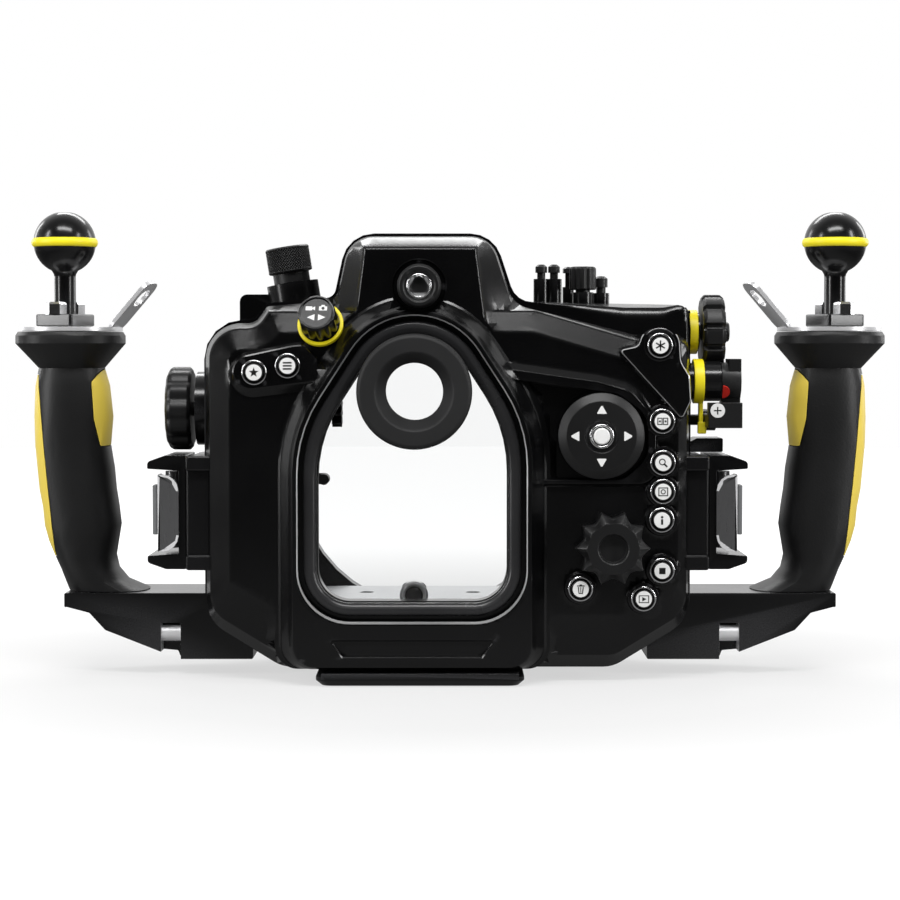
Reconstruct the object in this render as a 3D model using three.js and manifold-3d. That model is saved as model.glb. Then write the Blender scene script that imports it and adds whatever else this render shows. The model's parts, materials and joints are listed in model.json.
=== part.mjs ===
// An underwater housing for a large SLR camera, seen from its rear door side.
// Millimetres. x runs to the right as the diver sees the rear, y runs forward to the port, z runs up.
// The origin is on the flat underside of the foot, midway between the two handles.
import * as THREE from "three";
import { mergeVertices } from "three/addons/utils/BufferGeometryUtils.js";
import Module from "manifold-3d";

const wasm = await Module();
wasm.setup();

// Sizes that every piece shares.
const gap = 0.3;
const overrun = 3;
const leastRadius = 0.4;
const cornerSteps = 4;
const coarse = 12;
const medium = 20;
const smooth = 40;

const shell = {
  left: -98.7,
  right: 96.7,
  bottom: 4,
  shoulder: 151,
  top: 178.4,
  rear: -18,
  front: 48,
  wall: 6,
  skirtRun: 31,
  skirtRise: 19,
  skirtRadius: 14,
  cornerRadius: 16,
  shoulderRadius: 5,
  humpLeft: -41,
  humpRight: 17.5,
  humpRadius: 13,
  humpFootLeft: -46.5,
  humpFootRight: 26.5,
  humpFillet: 9,
  shelf: 152.9,
  shelfEnd: -73.5,
  shelfDrop: 2.3,
  shelfRadius: 4,
  cheek: 144,
  cheekStart: -78,
  frontRound: 8,
  frontRoundDepth: 11,
  humpSlopeStart: 12,
  humpSlopeDrop: 17,
};
const centre = (shell.left + shell.right) / 2;
const sideReach = (shell.right - shell.left) / 2;

const door = {
  inset: 1.6,
  panel: -38,
  rimEnd: -27,
  rimMiddle: -33.5,
  rimWidth: 8.5,
  bottomRim: 18,
  ceiling: -29,
  wall: 7,
  shoulder: 139.5,
  slopeEnd: 73,
  slopeStart: 34,
  slopeRadius: 8,
  humpFaceInset: 8,
  humpFaceBottom: 140,
};
door.front = shell.rear - gap;

const port = { x: -9, z: 77.4, bore: 56, outer: 64, ring: 8, lip: 3, lipWall: 1.6 };
const eye = { x: -13.8, z: 115.7 };

const pane = {
  left: -52.1,
  right: 22.5,
  bottom: 32.9,
  cornerRadius: 13,
  kneeRadius: 55,
  archRadius: 22,
  archTilt: THREE.MathUtils.degToRad(33),
  thick: 4,
  rear: -41.3,
  seat: 4,
};
const bezel = { inner: 1.6, edge: 4.8, outer: 5.6, rear: -45.2 };
const block = {
  rear: -47,
  shoulder: -44,
  bottom: 6,
  ridge: 9.3,
  flank: 11,
  base: 14.5,
  groove: 7.4,
  grooveDepth: 4,
  stripRun: 33,
  stripRise: 6,
  stripDepth: 1.2,
  stripBottom: 18,
};

const cup = { radius: 22.5, rear: -58, lip: 3, tube: 15, bore: 11.5, dish: 15, dishDepth: 5, tubeFront: -33 };
const eyeGlass = { radius: 12.7, thick: 2.5 };
const plug = { x: -12.1, z: 156.8, radius: 8.7, head: 3.4, shank: 6, shankLength: 6, socket: 4.7, edge: 1 };

const button = {
  cap: 3.6,
  capDepth: 3,
  proud: 1,
  well: 3.9,
  wellFloor: -38.1,
  stem: 1.5,
  tip: 2.3,
  tipDepth: 1.6,
  boss: 6.2,
  bossRear: -41,
  collar: 5,
  collarRear: -42.2,
  pocket: 3.2,
  edge: 0.5,
};
// Each push button's place on the rear door.
const buttons = {
  rating_button: { x: -76.7, z: 123 },
  menu_button: { x: -63.6, z: 125.6 },
  star_button: { x: 82.2, z: 133.5 },
  compare_button: { x: 83.2, z: 103.9 },
  zoom_button: { x: 83.5, z: 87.6 },
  quick_button: { x: 83.5, z: 76.3 },
  info_button: { x: 83.1, z: 65.1 },
  set_button: { x: 83.3, z: 45.2 },
  play_button: { x: 76.1, z: 34.1 },
  erase_button: { x: 51.3, z: 38 },
};
const plateau = { rear: -41, reach: 7.8, radius: 7.2, foot: -35, flank: 2.5, end: 7 };

const pad = {
  x: 59.3,
  z: 98.1,
  radius: 17,
  rear: -44.4,
  rimDepth: 1.8,
  rimWidth: 3.2,
  thick: 3.4,
  hole: 3.8,
  floor: -33.4,
  collar: 4.9,
  collarProud: 1,
};
const padButton = { cap: 3.3, depth: 3.6, tail: 1.4, tailLength: 2, proud: 1.6, edge: 0.5 };
const gimbal = { outer: 7, inner: 5, thick: 2.4, post: 3, space: 0.8, sway: 1 };
const recess = { left: 38, right: 76.5, bottom: 79.5, top: 116, topRight: 105, radius: 4 };

const rearDial = {
  x: 63.7,
  z: 54.3,
  radius: 14.8,
  valley: 11.9,
  points: 10,
  rear: -50,
  depth: 8.4,
  chamfer: 2.6,
  hub: 5.6,
  hubDepth: 1.5,
  shaft: 3,
  shaftEnd: -25,
  boss: 6,
  bossRear: -40.6,
};

const viewKnob = {
  x: -50.9,
  y: -37.4,
  z: 141.9,
  aim: new THREE.Vector3(-0.09, -0.92, 0.39).normalize(),
  boss: 8.4,
  bossLength: 14,
  ring: 9.1,
  ringThick: 1.4,
  radius: 7.6,
  valley: 6.6,
  face: 7.1,
  lobes: 12,
  length: 11,
  faceChamfer: 1.2,
  stem: 2.4,
  stemLength: 9,
};

const modeKnob = {
  x: -64.6,
  y: 3,
  z: 159.4,
  lean: THREE.MathUtils.degToRad(-9),
  radius: 9,
  height: 10.6,
  edge: 1,
  neck: 7.4,
  neckLength: 4,
  stem: 3.2,
  stemLength: 18,
  flange: 10.6,
  flangeHeight: 4.4,
  flangeDrop: 10,
};
const hiddenBoss = { left: -86.5, right: -70, top: 154.6, rear: 6, front: 34, radius: 6 };

const leftDial = {
  y: 4,
  z: 107.8,
  radius: 17,
  valley: 15.8,
  lobes: 12,
  outer: -115.8,
  width: 10.4,
  chamfer: 2.4,
  chamferWidth: 2.2,
  boss: 15,
  bossEnd: -103.6,
  shaft: 3,
  bearing: 7,
};
const zoomGear = { end: -44.6, width: 5.4, hub: 3.6, bore: 2, teeth: 10, toothReach: 7.6, toothThick: 1.1 };
const lensRelease = {
  x: -82,
  z: 77.5,
  button: 5,
  buttonDepth: 4,
  stem: 2.4,
  armRear: 28,
  armThick: 3.4,
  armHeight: 4.6,
  pinX: -53,
  pin: 2.35,
  pinRear: 22,
  travel: 3,
};

const mainDial = {
  y: 0.5,
  z: 139.1,
  boss: 7.6,
  bossProud: 0.7,
  ring: 9,
  ringStep: 0.6,
  ringThick: 3.6,
  ringGap: 1.6,
  width: 9,
  radius: 15.2,
  valley: 13.6,
  teeth: 11,
  edge: 1.2,
  hub: 4,
  hubOut: 2.6,
  shaft: 3,
  shaftEnd: 82,
};
mainDial.ringInner = shell.right + mainDial.ringStep;
mainDial.ringOuter = mainDial.ringInner + mainDial.ringThick;
mainDial.bossEnd = mainDial.ringOuter + mainDial.bossProud;
mainDial.inner = mainDial.ringOuter + mainDial.ringGap;
const leverHub = {
  y: -12.6,
  z: 119.2,
  root: 1,
  core: 7.4,
  ring: 9,
  ringStep: 1.3,
  ringThick: 4.1,
  tailWidth: 4,
  tailBottom: 99,
  tailStep: 2.4,
  radius: 8.1,
  length: 6.8,
  pin: 2.6,
  pinReach: 5.1,
};
leverHub.ringInner = shell.right + leverHub.ringStep;
leverHub.ringOuter = leverHub.ringInner + leverHub.ringThick;
leverHub.tailInner = leverHub.ringInner + leverHub.tailStep;
leverHub.outer = leverHub.ringOuter + leverHub.length;
leverHub.pinEnd = leverHub.outer + leverHub.pinReach;
const recordLever = { reach: 8, bore: 2.9, barrel: 7.6, padTop: 9, padReach: 3.1, padWidth: 13, foot: -8.8 };
recordLever.outer = leverHub.outer + recordLever.reach;
recordLever.padStart = leverHub.outer + recordLever.padReach;
const focusLever = {
  y: -2,
  z: 103.3,
  step: 0.7,
  neckReach: 5.6,
  reach: 7.9,
  pin: 2.2,
  pinEnd: 88,
  barrel: 4.4,
  bottom: 100.7,
  armTop: 106,
  paddleTop: 110.8,
  paddleRear: -28,
  paddleFront: -22.6,
};
focusLever.inner = leverHub.ringOuter + focusLever.step;
focusLever.neck = focusLever.inner + focusLever.neckReach;
focusLever.outer = focusLever.neck + focusLever.reach;
const stop = { reach: 13.5, bottom: 90.6, top: 96.2, rear: -14, front: 4, slope: 3 };
stop.outer = shell.right + stop.reach;

const slimButton = {
  y: 16,
  sleeve: 3.2,
  sleeveTop: 161.2,
  bore: 2,
  stem: 1.7,
  head: 2.45,
  headTop: 167.2,
  headHeight: 3.4,
  dome: 1,
  tail: 21,
};
const slimPlaces = { left: 37.9, right: 43.2 };
const post = { x: 49.4, y: 22, radius: 1.3, head: 2.3, top: 166.4, headHeight: 2.6, dome: 0.8, sleeve: 2.4, sleeveTop: 158 };
const topDial = {
  x: 55,
  y: 13,
  radius: 5.5,
  valley: 4.9,
  ribs: 12,
  bottom: 156.6,
  top: 166.2,
  neck: 3,
  neckSleeve: 4.4,
  sleeveTop: 155.6,
  stemEnd: 136,
  edge: 0.8,
};
const wideButton = {
  x: 62.8,
  y: 17.5,
  sleeve: 3.5,
  sleeveTop: 155.4,
  bore: 2.3,
  stem: 2,
  head: 2.8,
  headTop: 162.4,
  headHeight: 4.6,
  dome: 1,
  tail: 14,
};

const seal = { inset: 3, width: 2.2, depth: 2.1 };
const groove = { width: 2.8, depth: 2.5 };

const foot = { left: -52.8, right: 29.2, rear: -46, front: 40, step: -38, lip: 5, bevel: 2.2, radius: 4 };

const tray = { left: -56, right: 31, rear: -15, front: 36, top: 31.4, thick: 3, radius: 5, hole: 3, slotRun: 22 };
const rail = { width: 9, rear: -12, front: 34 };
const trayKnob = { x: -14.5, z: 33, radius: 5.7, rim: 3.6, depth: 3.4, dish: 1, screw: 1.6, screwLength: 5, lug: 5 };

const latch = {
  seam: 104.2,
  bottom: 44.4,
  top: 89.9,
  rear: -28,
  front: 6,
  spine: 3,
  ear: 6.2,
  earFlat: 8,
  tip: 119.6,
  tipThick: 2.8,
  tipDrop: 2.6,
  pivotX: 111.6,
  pivotY: -9,
  barrel: 3,
  barrelGap: 1,
  armWidth: 3.4,
  armHeight: 20,
  plateInner: 106.9,
  plateOuter: 115.2,
  plateHeight: 30.7,
  plateRadius: 6.5,
  plateRear: -30.4,
  plateThick: 2,
  lip: 1,
  lipDepth: 8,
};
const latchMiddle = (latch.bottom + latch.top) / 2 - 0.5 * gap;
const tab = { thick: 1.9, height: 19.8, rear: -28.6, depth: 7, rise: 1.2, travel: 3 };
const doorEar = { rear: -33, inner: 90, rib: 6, web: 3 };
const bracketWidth = 37;
const bracketMiddle = 6.5;

const bracket = {
  top: 33.2,
  bottom: 6.3,
  inner: 80,
  outer: 156.6,
  outerDrop: 6,
  // Points along the sloping underside, as shares of the reach beyond the heel and of the height.
  undersideShares: [
    [0.98, 0.79],
    [0.78, 0.7],
    [0.64, 0.44],
    [0.15, 0.11],
    [0.02, 0.09],
  ],
  heel: 110.6,
};
const bolt = { inner: 109.4, outer: 117.4, z: 16.6, radius: 3.3, y: -8.8, pocket: 4.4, reach: 5 };

// The grip's sections from its foot up: height as a share of the grip's height, then how far its outer
// side, its inner side and its half depth lie, as shares of the flange's width.
const grip = {
  axis: 156,
  flange: 44.5,
  foot: 33.5,
  top: 139.2,
  y: 6,
  sides: 20,
  squareness: 0.82,
  sectionShares: [
    [0, 0.02, 0.72, 0.37],
    [0.035, 0.05, 0.52, 0.37],
    [0.08, 0.09, 0.43, 0.37],
    [0.13, 0.145, 0.405, 0.365],
    [0.19, 0.205, 0.43, 0.365],
    [0.25, 0.245, 0.455, 0.365],
    [0.32, 0.26, 0.436, 0.365],
    [0.39, 0.292, 0.411, 0.36],
    [0.47, 0.31, 0.395, 0.36],
    [0.56, 0.328, 0.36, 0.355],
    [0.67, 0.335, 0.384, 0.35],
    [0.79, 0.324, 0.355, 0.335],
    [0.86, 0.292, 0.308, 0.305],
    [0.955, 0.5, 0.5, 0.5],
    [0.985, 0.5, 0.5, 0.5],
    [1, 0.478, 0.478, 0.478],
  ],
};
const outerPad = { top: 121.6, bottom: 47.4, topX: 168.2, bottomX: 161.2 };
const innerPad = {
  top: 124.6,
  bottom: 92.6,
  // Points of the pad's edge on the grip, as shares of its height and of its width.
  width: 9,
  reach: 137,
  edgeShares: [
    [0.5, 1],
    [0.98, 0.82],
    [0.86, 0.34],
    [0.62, 0],
  ],
};

const topPlate = {
  thick: 1.6,
  radius: 21.2,
  tabAngle: THREE.MathUtils.degToRad(48),
  tabTurn: THREE.MathUtils.degToRad(13),
  tabLength: 26,
  tabWidth: 14,
  tabRoot: 19,
  eye: 4.5,
  eyeEnd: 8,
};
const ballMount = {
  axis: 158.3,
  base: 17.6,
  baseHeight: 5,
  turn: THREE.MathUtils.degToRad(25),
  stem: 4.4,
  ball: 12.7,
  ballAxis: 175.8,
  neckAngle: THREE.MathUtils.degToRad(67),
  neckDrop: 13.8,
  ballSteps: 8,
  screwOffset: 6.6,
  screwAngle: THREE.MathUtils.degToRad(115),
  screw: 4.4,
  screwHeight: 5,
};
const ballRing = { middle: 12.1, section: 1.5, bed: 1.9, sides: 6 };

const paints = {
  black: { color: 0x0b0b0c, roughness: 0.42, metalness: 0.6 },
  blackPlastic: { color: 0x151516, roughness: 0.6, metalness: 0 },
  rubber: { color: 0x1a1a1b, roughness: 0.8, metalness: 0 },
  yellow: { color: 0xf7e413, roughness: 0.5, metalness: 0 },
  steel: { color: 0xc9cacb, roughness: 0.3, metalness: 1 },
  silver: { color: 0xd6d7d8, roughness: 0.4, metalness: 0.9 },
  grey: { color: 0x6f7173, roughness: 0.45, metalness: 0.7 },
  white: { color: 0xf1f1ef, roughness: 0.5, metalness: 0 },
  glass: { color: 0xeef4f5, roughness: 0.05, metalness: 0, transparent: true, opacity: 0.25 },
};

// Joining and cutting closed meshes.
function solid(geometry) {
  const bare = geometry.clone();
  bare.deleteAttribute("normal");
  bare.deleteAttribute("uv");
  const merged = mergeVertices(bare);
  return new wasm.Manifold(
    new wasm.Mesh({
      numProp: 3,
      vertProperties: merged.attributes.position.array,
      triVerts: new Uint32Array(merged.index.array),
    }),
  );
}

function geometryOf(manifold) {
  const mesh = manifold.getMesh();
  const geometry = new THREE.BufferGeometry();
  geometry.setAttribute("position", new THREE.BufferAttribute(mesh.vertProperties, mesh.numProp));
  geometry.setIndex(new THREE.BufferAttribute(mesh.triVerts, 1));
  geometry.computeVertexNormals();
  return geometry;
}

function join(first, ...others) {
  return geometryOf(others.reduce((sum, other) => sum.add(solid(other)), solid(first)));
}

function cut(first, ...tools) {
  return geometryOf(tools.reduce((rest, tool) => rest.subtract(solid(tool)), solid(first)));
}

function common(first, second) {
  return geometryOf(solid(first).intersect(solid(second)));
}

// An outline is a list of corners [x, z, radius]. This moves every edge inwards by a distance.
function inset(corners, distance) {
  const count = corners.length;
  const edges = corners.map(([x, z], i) => {
    const [nextX, nextZ] = corners[(i + 1) % count];
    const along = new THREE.Vector2(nextX - x, nextZ - z).normalize();
    const inward = new THREE.Vector2(-along.y, along.x);
    return { along, inward, start: new THREE.Vector2(x, z).addScaledVector(inward, distance) };
  });
  return corners.map(([, , radius], i) => {
    const before = edges[(i + count - 1) % count];
    const after = edges[i];
    const turn = before.along.cross(after.along);
    const between = after.start.clone().sub(before.start);
    const run = between.cross(after.along) / turn;
    const corner = before.start.clone().addScaledVector(before.along, run);
    const rounded = turn > 0 ? radius - distance : radius + distance;
    return [corner.x, corner.y, Math.max(rounded, leastRadius)];
  });
}

// The points of an outline with its corners rounded, the same number for each corner.
function rounded(corners, steps = cornerSteps) {
  const count = corners.length;
  const points = [];
  corners.forEach(([x, z, radius], i) => {
    const here = new THREE.Vector2(x, z);
    const [backX, backZ] = corners[(i + count - 1) % count];
    const [nextX, nextZ] = corners[(i + 1) % count];
    const back = new THREE.Vector2(backX, backZ).sub(here).normalize();
    const next = new THREE.Vector2(nextX, nextZ).sub(here).normalize();
    const half = Math.acos(THREE.MathUtils.clamp(back.dot(next), -1, 1)) / 2;
    const hub = here.clone().addScaledVector(back.clone().add(next).normalize(), radius / Math.sin(half));
    const start = here.clone().addScaledVector(back, radius / Math.tan(half)).sub(hub);
    const sweep = Math.sign(next.cross(back)) * (Math.PI - 2 * half);
    for (let step = 0; step <= steps; step += 1) {
      const arm = start.clone().rotateAround(new THREE.Vector2(), (sweep * step) / steps);
      points.push(arm.add(hub));
    }
  });
  return points;
}

// The triangles that close a flat ring of points, running the same way round as the ring.
function capRing(ring) {
  const normal = new THREE.Vector3();
  ring.forEach((point, i) => normal.add(point.clone().cross(ring[(i + 1) % ring.length])));
  const side = Math.abs(normal.z) > Math.abs(normal.y) ? "y" : "z";
  const flat = ring.map((point) => new THREE.Vector2(point.x, point[side]));
  const triangles = THREE.ShapeUtils.triangulateShape(flat, []);
  return THREE.ShapeUtils.isClockWise(flat) ? triangles.map(([a, b, c]) => [a, c, b]) : triangles;
}

// A closed body through rings of points that all have the same count.
function loftRings(rings) {
  const count = rings[0].length;
  const positions = rings.flat().flatMap((point) => [point.x, point.y, point.z]);
  const index = [];
  for (let level = 0; level + 1 < rings.length; level += 1) {
    for (let i = 0; i < count; i += 1) {
      const a = level * count + i;
      const b = level * count + ((i + 1) % count);
      index.push(a, b, a + count, b, b + count, a + count);
    }
  }
  const last = rings.length - 1;
  capRing(rings[0]).forEach(([a, b, c]) => index.push(a, c, b));
  capRing(rings[last]).forEach(([a, b, c]) => index.push(last * count + a, last * count + b, last * count + c));
  const geometry = new THREE.BufferGeometry();
  geometry.setAttribute("position", new THREE.Float32BufferAttribute(positions, 3));
  geometry.setIndex(index);
  return facingOut(geometry);
}

// Turns a body's faces round if they point inwards.
function facingOut(geometry) {
  const place = geometry.attributes.position;
  const index = geometry.index.array;
  const corner = (i) => new THREE.Vector3().fromBufferAttribute(place, index[i]);
  let volume = 0;
  for (let i = 0; i < index.length; i += 3) volume += corner(i).dot(corner(i + 1).cross(corner(i + 2)));
  if (volume < 0) for (let i = 0; i < index.length; i += 3) [index[i], index[i + 1]] = [index[i + 1], index[i]];
  geometry.computeVertexNormals();
  return geometry;
}

// A body through outlines that stand in the rear view, each at its own depth y.
function loft(levels, steps = cornerSteps) {
  return loftRings(levels.map(([y, corners]) => rounded(corners, steps).map((p) => new THREE.Vector3(p.x, y, p.y))));
}

function slab(corners, rear, front, steps = cornerSteps) {
  return loft([[rear, corners], [front, corners]], steps);
}

function box(left, right, rear, front, bottom, top) {
  const geometry = new THREE.BoxGeometry(right - left, front - rear, top - bottom);
  return geometry.translate((left + right) / 2, (rear + front) / 2, (bottom + top) / 2);
}

// A body turned round the y axis from a profile of [radius, y] points that closes on itself.
function turned(profile, sides = medium) {
  const points = profile.map(([radius, y]) => new THREE.Vector2(radius, y));
  const area = THREE.ShapeUtils.area(points);
  if (area < 0) points.reverse();
  const first = points[0];
  const closed = points[points.length - 1].equals(first) || (first.x === 0 && points[points.length - 1].x === 0);
  if (!closed) points.push(first.clone());
  return new THREE.LatheGeometry(points, sides);
}

function rod(radius, rear, front, sides = medium) {
  return turned([[0, rear], [radius, rear], [radius, front], [0, front]], sides);
}

function chamferedRod(radius, rear, front, edge, sides = medium) {
  return turned(
    [[0, rear], [radius - edge, rear], [radius, rear + edge], [radius, front], [0, front]],
    sides,
  );
}

function ring(outer, inner, rear, front, sides = smooth) {
  return turned([[inner, rear], [outer, rear], [outer, front], [inner, front]], sides);
}

// A wheel with lobes round the y axis: its rim's radius swings between valley and radius.
function lobed(radius, valley, lobes, rear, front, chamfer = 0, sharp = 1) {
  const steps = 4;
  const points = (shrink) =>
    Array.from({ length: lobes * steps }, (unused, i) => {
      const angle = (2 * Math.PI * i) / (lobes * steps);
      const swing = ((1 + Math.cos(lobes * angle)) / 2) ** sharp;
      const reach = valley + (radius - valley) * swing - shrink;
      return new THREE.Vector2(reach * Math.sin(angle), reach * Math.cos(angle));
    });
  const level = (y, shrink) => points(shrink).map((p) => new THREE.Vector3(p.x, y, p.y));
  if (!chamfer) return loftRings([level(rear, 0), level(front, 0)]);
  return loftRings([level(rear, chamfer), level(rear + chamfer, 0), level(front, 0)]);
}

// Stands a body made round y along x or along z.
function alongX(geometry) {
  return geometry.rotateZ(-Math.PI / 2);
}

function alongZ(geometry) {
  return geometry.rotateX(Math.PI / 2);
}

// Lays a body made round y along any direction through a point; +y becomes that direction.
function aimed(geometry, direction, place) {
  const turn = new THREE.Quaternion().setFromUnitVectors(new THREE.Vector3(0, 1, 0), direction);
  return geometry.applyQuaternion(turn).translate(place.x, place.y, place.z);
}

function at(geometry, x, y, z) {
  return geometry.translate(x, y, z);
}

const part = new THREE.Group();

function piece(name, geometry, paint, parent = part) {
  const mesh = new THREE.Mesh(geometry, new THREE.MeshStandardMaterial(paint));
  mesh.name = name;
  parent.add(mesh);
  return mesh;
}

// Outlines of the housing in the rear view.
function shellCorners() {
  return [
    [shell.left + shell.skirtRun, shell.bottom, shell.skirtRadius],
    [shell.right - shell.skirtRun, shell.bottom, shell.skirtRadius],
    [shell.right, shell.bottom + shell.skirtRise, shell.cornerRadius],
    [shell.right, shell.shoulder, shell.shoulderRadius],
    [shell.humpFootRight, shell.shoulder, shell.humpFillet],
    [shell.humpRight, shell.top, shell.humpRadius],
    [shell.humpLeft, shell.top, shell.humpRadius],
    [shell.humpFootLeft, shell.shelf, shell.shelfRadius],
    [shell.shelfEnd, shell.shelf - shell.shelfDrop, shell.shelfRadius],
    [shell.cheekStart, shell.cheek, shell.shelfRadius],
    [shell.left, shell.cheek, shell.cornerRadius],
    [shell.left, shell.bottom + shell.skirtRise, shell.cornerRadius],
  ];
}

// The outline along which the rear door meets the shell. On the right it runs lower than the shell's shoulder.
function seamCorners() {
  const whole = shellCorners();
  return [
    ...whole.slice(0, 3),
    [shell.right, door.shoulder, door.slopeRadius],
    [door.slopeEnd, door.shoulder, door.slopeRadius],
    ...whole.slice(4),
  ];
}

function doorCorners(bottomRise = 0) {
  return [
    [shell.left + shell.skirtRun, shell.bottom + bottomRise, shell.skirtRadius],
    [shell.right - shell.skirtRun, shell.bottom + bottomRise, shell.skirtRadius],
    [shell.right, shell.bottom + shell.skirtRise + bottomRise, shell.cornerRadius],
    [shell.right, door.shoulder, door.slopeRadius],
    [door.slopeEnd, door.shoulder, door.slopeRadius],
    [door.slopeStart, shell.shoulder, door.slopeRadius],
    [shell.shelfEnd, shell.shelf - shell.shelfDrop, shell.shelfRadius],
    [shell.cheekStart, shell.cheek, shell.shelfRadius],
    [shell.left, shell.cheek, shell.cornerRadius],
    [shell.left, shell.bottom + shell.skirtRise + bottomRise, shell.cornerRadius],
  ];
}

// The hump with its slanting sides carried on down to a level below the shoulder.
function humpCorners(bottom = door.humpFaceBottom) {
  const share = (foot) => (shell.top - bottom) / (shell.top - foot);
  const left = THREE.MathUtils.lerp(shell.humpLeft, shell.humpFootLeft, share(shell.shelf));
  const right = THREE.MathUtils.lerp(shell.humpRight, shell.humpFootRight, share(shell.shoulder));
  return [
    [left, bottom, leastRadius],
    [right, bottom, leastRadius],
    [shell.humpRight, shell.top, shell.humpRadius],
    [shell.humpLeft, shell.top, shell.humpRadius],
  ];
}

// The window's outline: upright sides, a knee on each side and an arch round the eyepiece.
function windowCorners(spread, bottom = pane.bottom - spread) {
  const radius = pane.archRadius + spread;
  const slope = Math.tan(pane.archTilt);
  const apex = eye.z + radius / Math.sin(pane.archTilt);
  const knee = (x) => apex - Math.abs(x - eye.x) / slope;
  const left = pane.left - spread;
  const right = pane.right + spread;
  return [
    [left, bottom, pane.cornerRadius + spread],
    [right, bottom, pane.cornerRadius + spread],
    [right, knee(right), pane.kneeRadius],
    [eye.x, apex, radius],
    [left, knee(left), pane.kneeRadius],
  ];
}

function rectangle(left, right, bottom, top, radius) {
  return [
    [left, bottom, radius],
    [right, bottom, radius],
    [right, top, radius],
    [left, top, radius],
  ];
}

// Front shell

function humpSlope(drop) {
  const start = shell.humpSlopeStart;
  const run = shell.front - start + overrun;
  const fall = (shell.humpSlopeDrop * run) / (shell.front - start);
  const rings = [shell.left, shell.right].map((x) => [
    new THREE.Vector3(x, start, shell.top - drop),
    new THREE.Vector3(x, start + run, shell.top - drop - fall),
    new THREE.Vector3(x, start + run, shell.top + overrun),
    new THREE.Vector3(x, start, shell.top + overrun),
  ]);
  const positions = rings.flat().flatMap((p) => [p.x, p.y, p.z]);
  const index = [0, 2, 1, 0, 3, 2, 4, 5, 6, 4, 6, 7];
  for (let i = 0; i < 4; i += 1) {
    const next = (i + 1) % 4;
    index.push(i, next, i + 4, next, next + 4, i + 4);
  }
  const geometry = new THREE.BufferGeometry();
  geometry.setAttribute("position", new THREE.Float32BufferAttribute(positions, 3));
  geometry.setIndex(index);
  return facingOut(geometry);
}

function shellBody() {
  const full = shellCorners();
  const outside = loft([
    [shell.rear, full],
    [shell.front - shell.frontRoundDepth, full],
    [shell.front - shell.frontRoundDepth / 3, inset(full, shell.frontRound / 3)],
    [shell.front, inset(full, shell.frontRound)],
  ]);
  const front = shell.front - shell.wall;
  const opening = slab(inset(seamCorners(), shell.wall), shell.rear - overrun, front);
  const shoulder = slab(inset(full, shell.wall), shell.rear + shell.wall, front);
  return cut(cut(outside, humpSlope(0)), cut(join(opening, shoulder), humpSlope(shell.wall)));
}

// The block on one side of the housing that carries a latch.
function sideBoss(side) {
  const inner = centre + side * (sideReach - shell.wall / 2);
  const outer = centre + side * (latch.seam - gap);
  const left = Math.min(inner, outer);
  const right = Math.max(inner, outer);
  return slab(rectangle(left, right, latch.bottom, latch.top, latch.tipThick), shell.rear, latch.front);
}

function modeAxis() {
  return new THREE.Vector3(0, 1, 0).applyAxisAngle(new THREE.Vector3(1, 0, 0), Math.PI / 2)
    .applyAxisAngle(new THREE.Vector3(0, 1, 0), modeKnob.lean);
}

function modeFlange() {
  const body = rod(modeKnob.flange, -modeKnob.flangeDrop, -gap);
  return aimed(body, modeAxis(), modeKnob);
}

function modeBore() {
  return aimed(rod(modeKnob.stem + gap, -modeKnob.stemLength - overrun, overrun, coarse), modeAxis(), modeKnob);
}

function sleeve(place, radius, top) {
  return at(alongZ(rod(radius, shell.shoulder - shell.wall / 2, top, coarse)), place.x, place.y, 0);
}

function verticalBore(place, radius, top) {
  const bottom = shell.shoulder - shell.wall - overrun;
  return at(alongZ(rod(radius, bottom, top + overrun, coarse)), place.x, place.y, 0);
}

function slimPlace(x) {
  return { x, y: slimButton.y };
}

function topPost() {
  const foot = shell.shoulder - shell.wall / 2;
  const stalk = turned(
    [
      [0, foot],
      [post.sleeve, foot],
      [post.sleeve, post.sleeveTop],
      [post.radius, post.sleeveTop],
      [post.radius, post.top - post.headHeight],
      [post.head, post.top - post.headHeight],
      [post.head, post.top - post.dome],
      [post.head / 2, post.top],
      [0, post.top],
    ],
    coarse,
  );
  return at(alongZ(stalk), post.x, post.y, 0);
}

function topBosses() {
  return [
    sleeve(slimPlace(slimPlaces.left), slimButton.sleeve, slimButton.sleeveTop),
    sleeve(slimPlace(slimPlaces.right), slimButton.sleeve, slimButton.sleeveTop),
    sleeve(topDial, topDial.neckSleeve, topDial.sleeveTop),
    sleeve(wideButton, wideButton.sleeve, wideButton.sleeveTop),
    topPost(),
  ];
}

function topBores() {
  return [
    verticalBore(slimPlace(slimPlaces.left), slimButton.bore, slimButton.sleeveTop),
    verticalBore(slimPlace(slimPlaces.right), slimButton.bore, slimButton.sleeveTop),
    verticalBore(topDial, topDial.neck + gap, topDial.sleeveTop),
    verticalBore(wideButton, wideButton.bore, wideButton.sleeveTop),
  ];
}

function rightBosses() {
  const inner = shell.right - shell.wall / 2;
  const root = shell.right - leverHub.root;
  return [
    at(alongX(rod(mainDial.boss, inner, mainDial.bossEnd)), 0, mainDial.y, mainDial.z),
    at(alongX(rod(leverHub.core, root, leverHub.ringOuter + gap)), 0, leverHub.y, leverHub.z),
    at(alongX(rod(leverHub.radius, leverHub.ringOuter + gap, leverHub.outer)), 0, leverHub.y, leverHub.z),
    at(alongX(rod(leverHub.pin, leverHub.outer - overrun, leverHub.pinEnd, coarse)), 0, leverHub.y, leverHub.z),
    stopBlock(inner),
  ];
}

function stopBlock(inner) {
  const corners = [
    [inner, stop.bottom, leastRadius],
    [stop.outer, stop.bottom, leastRadius],
    [stop.outer, stop.top, leastRadius],
    [shell.right + stop.slope, stop.top, leastRadius],
    [inner, stop.top - stop.slope, leastRadius],
  ];
  return slab(corners, stop.rear, stop.front, 1);
}

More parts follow.
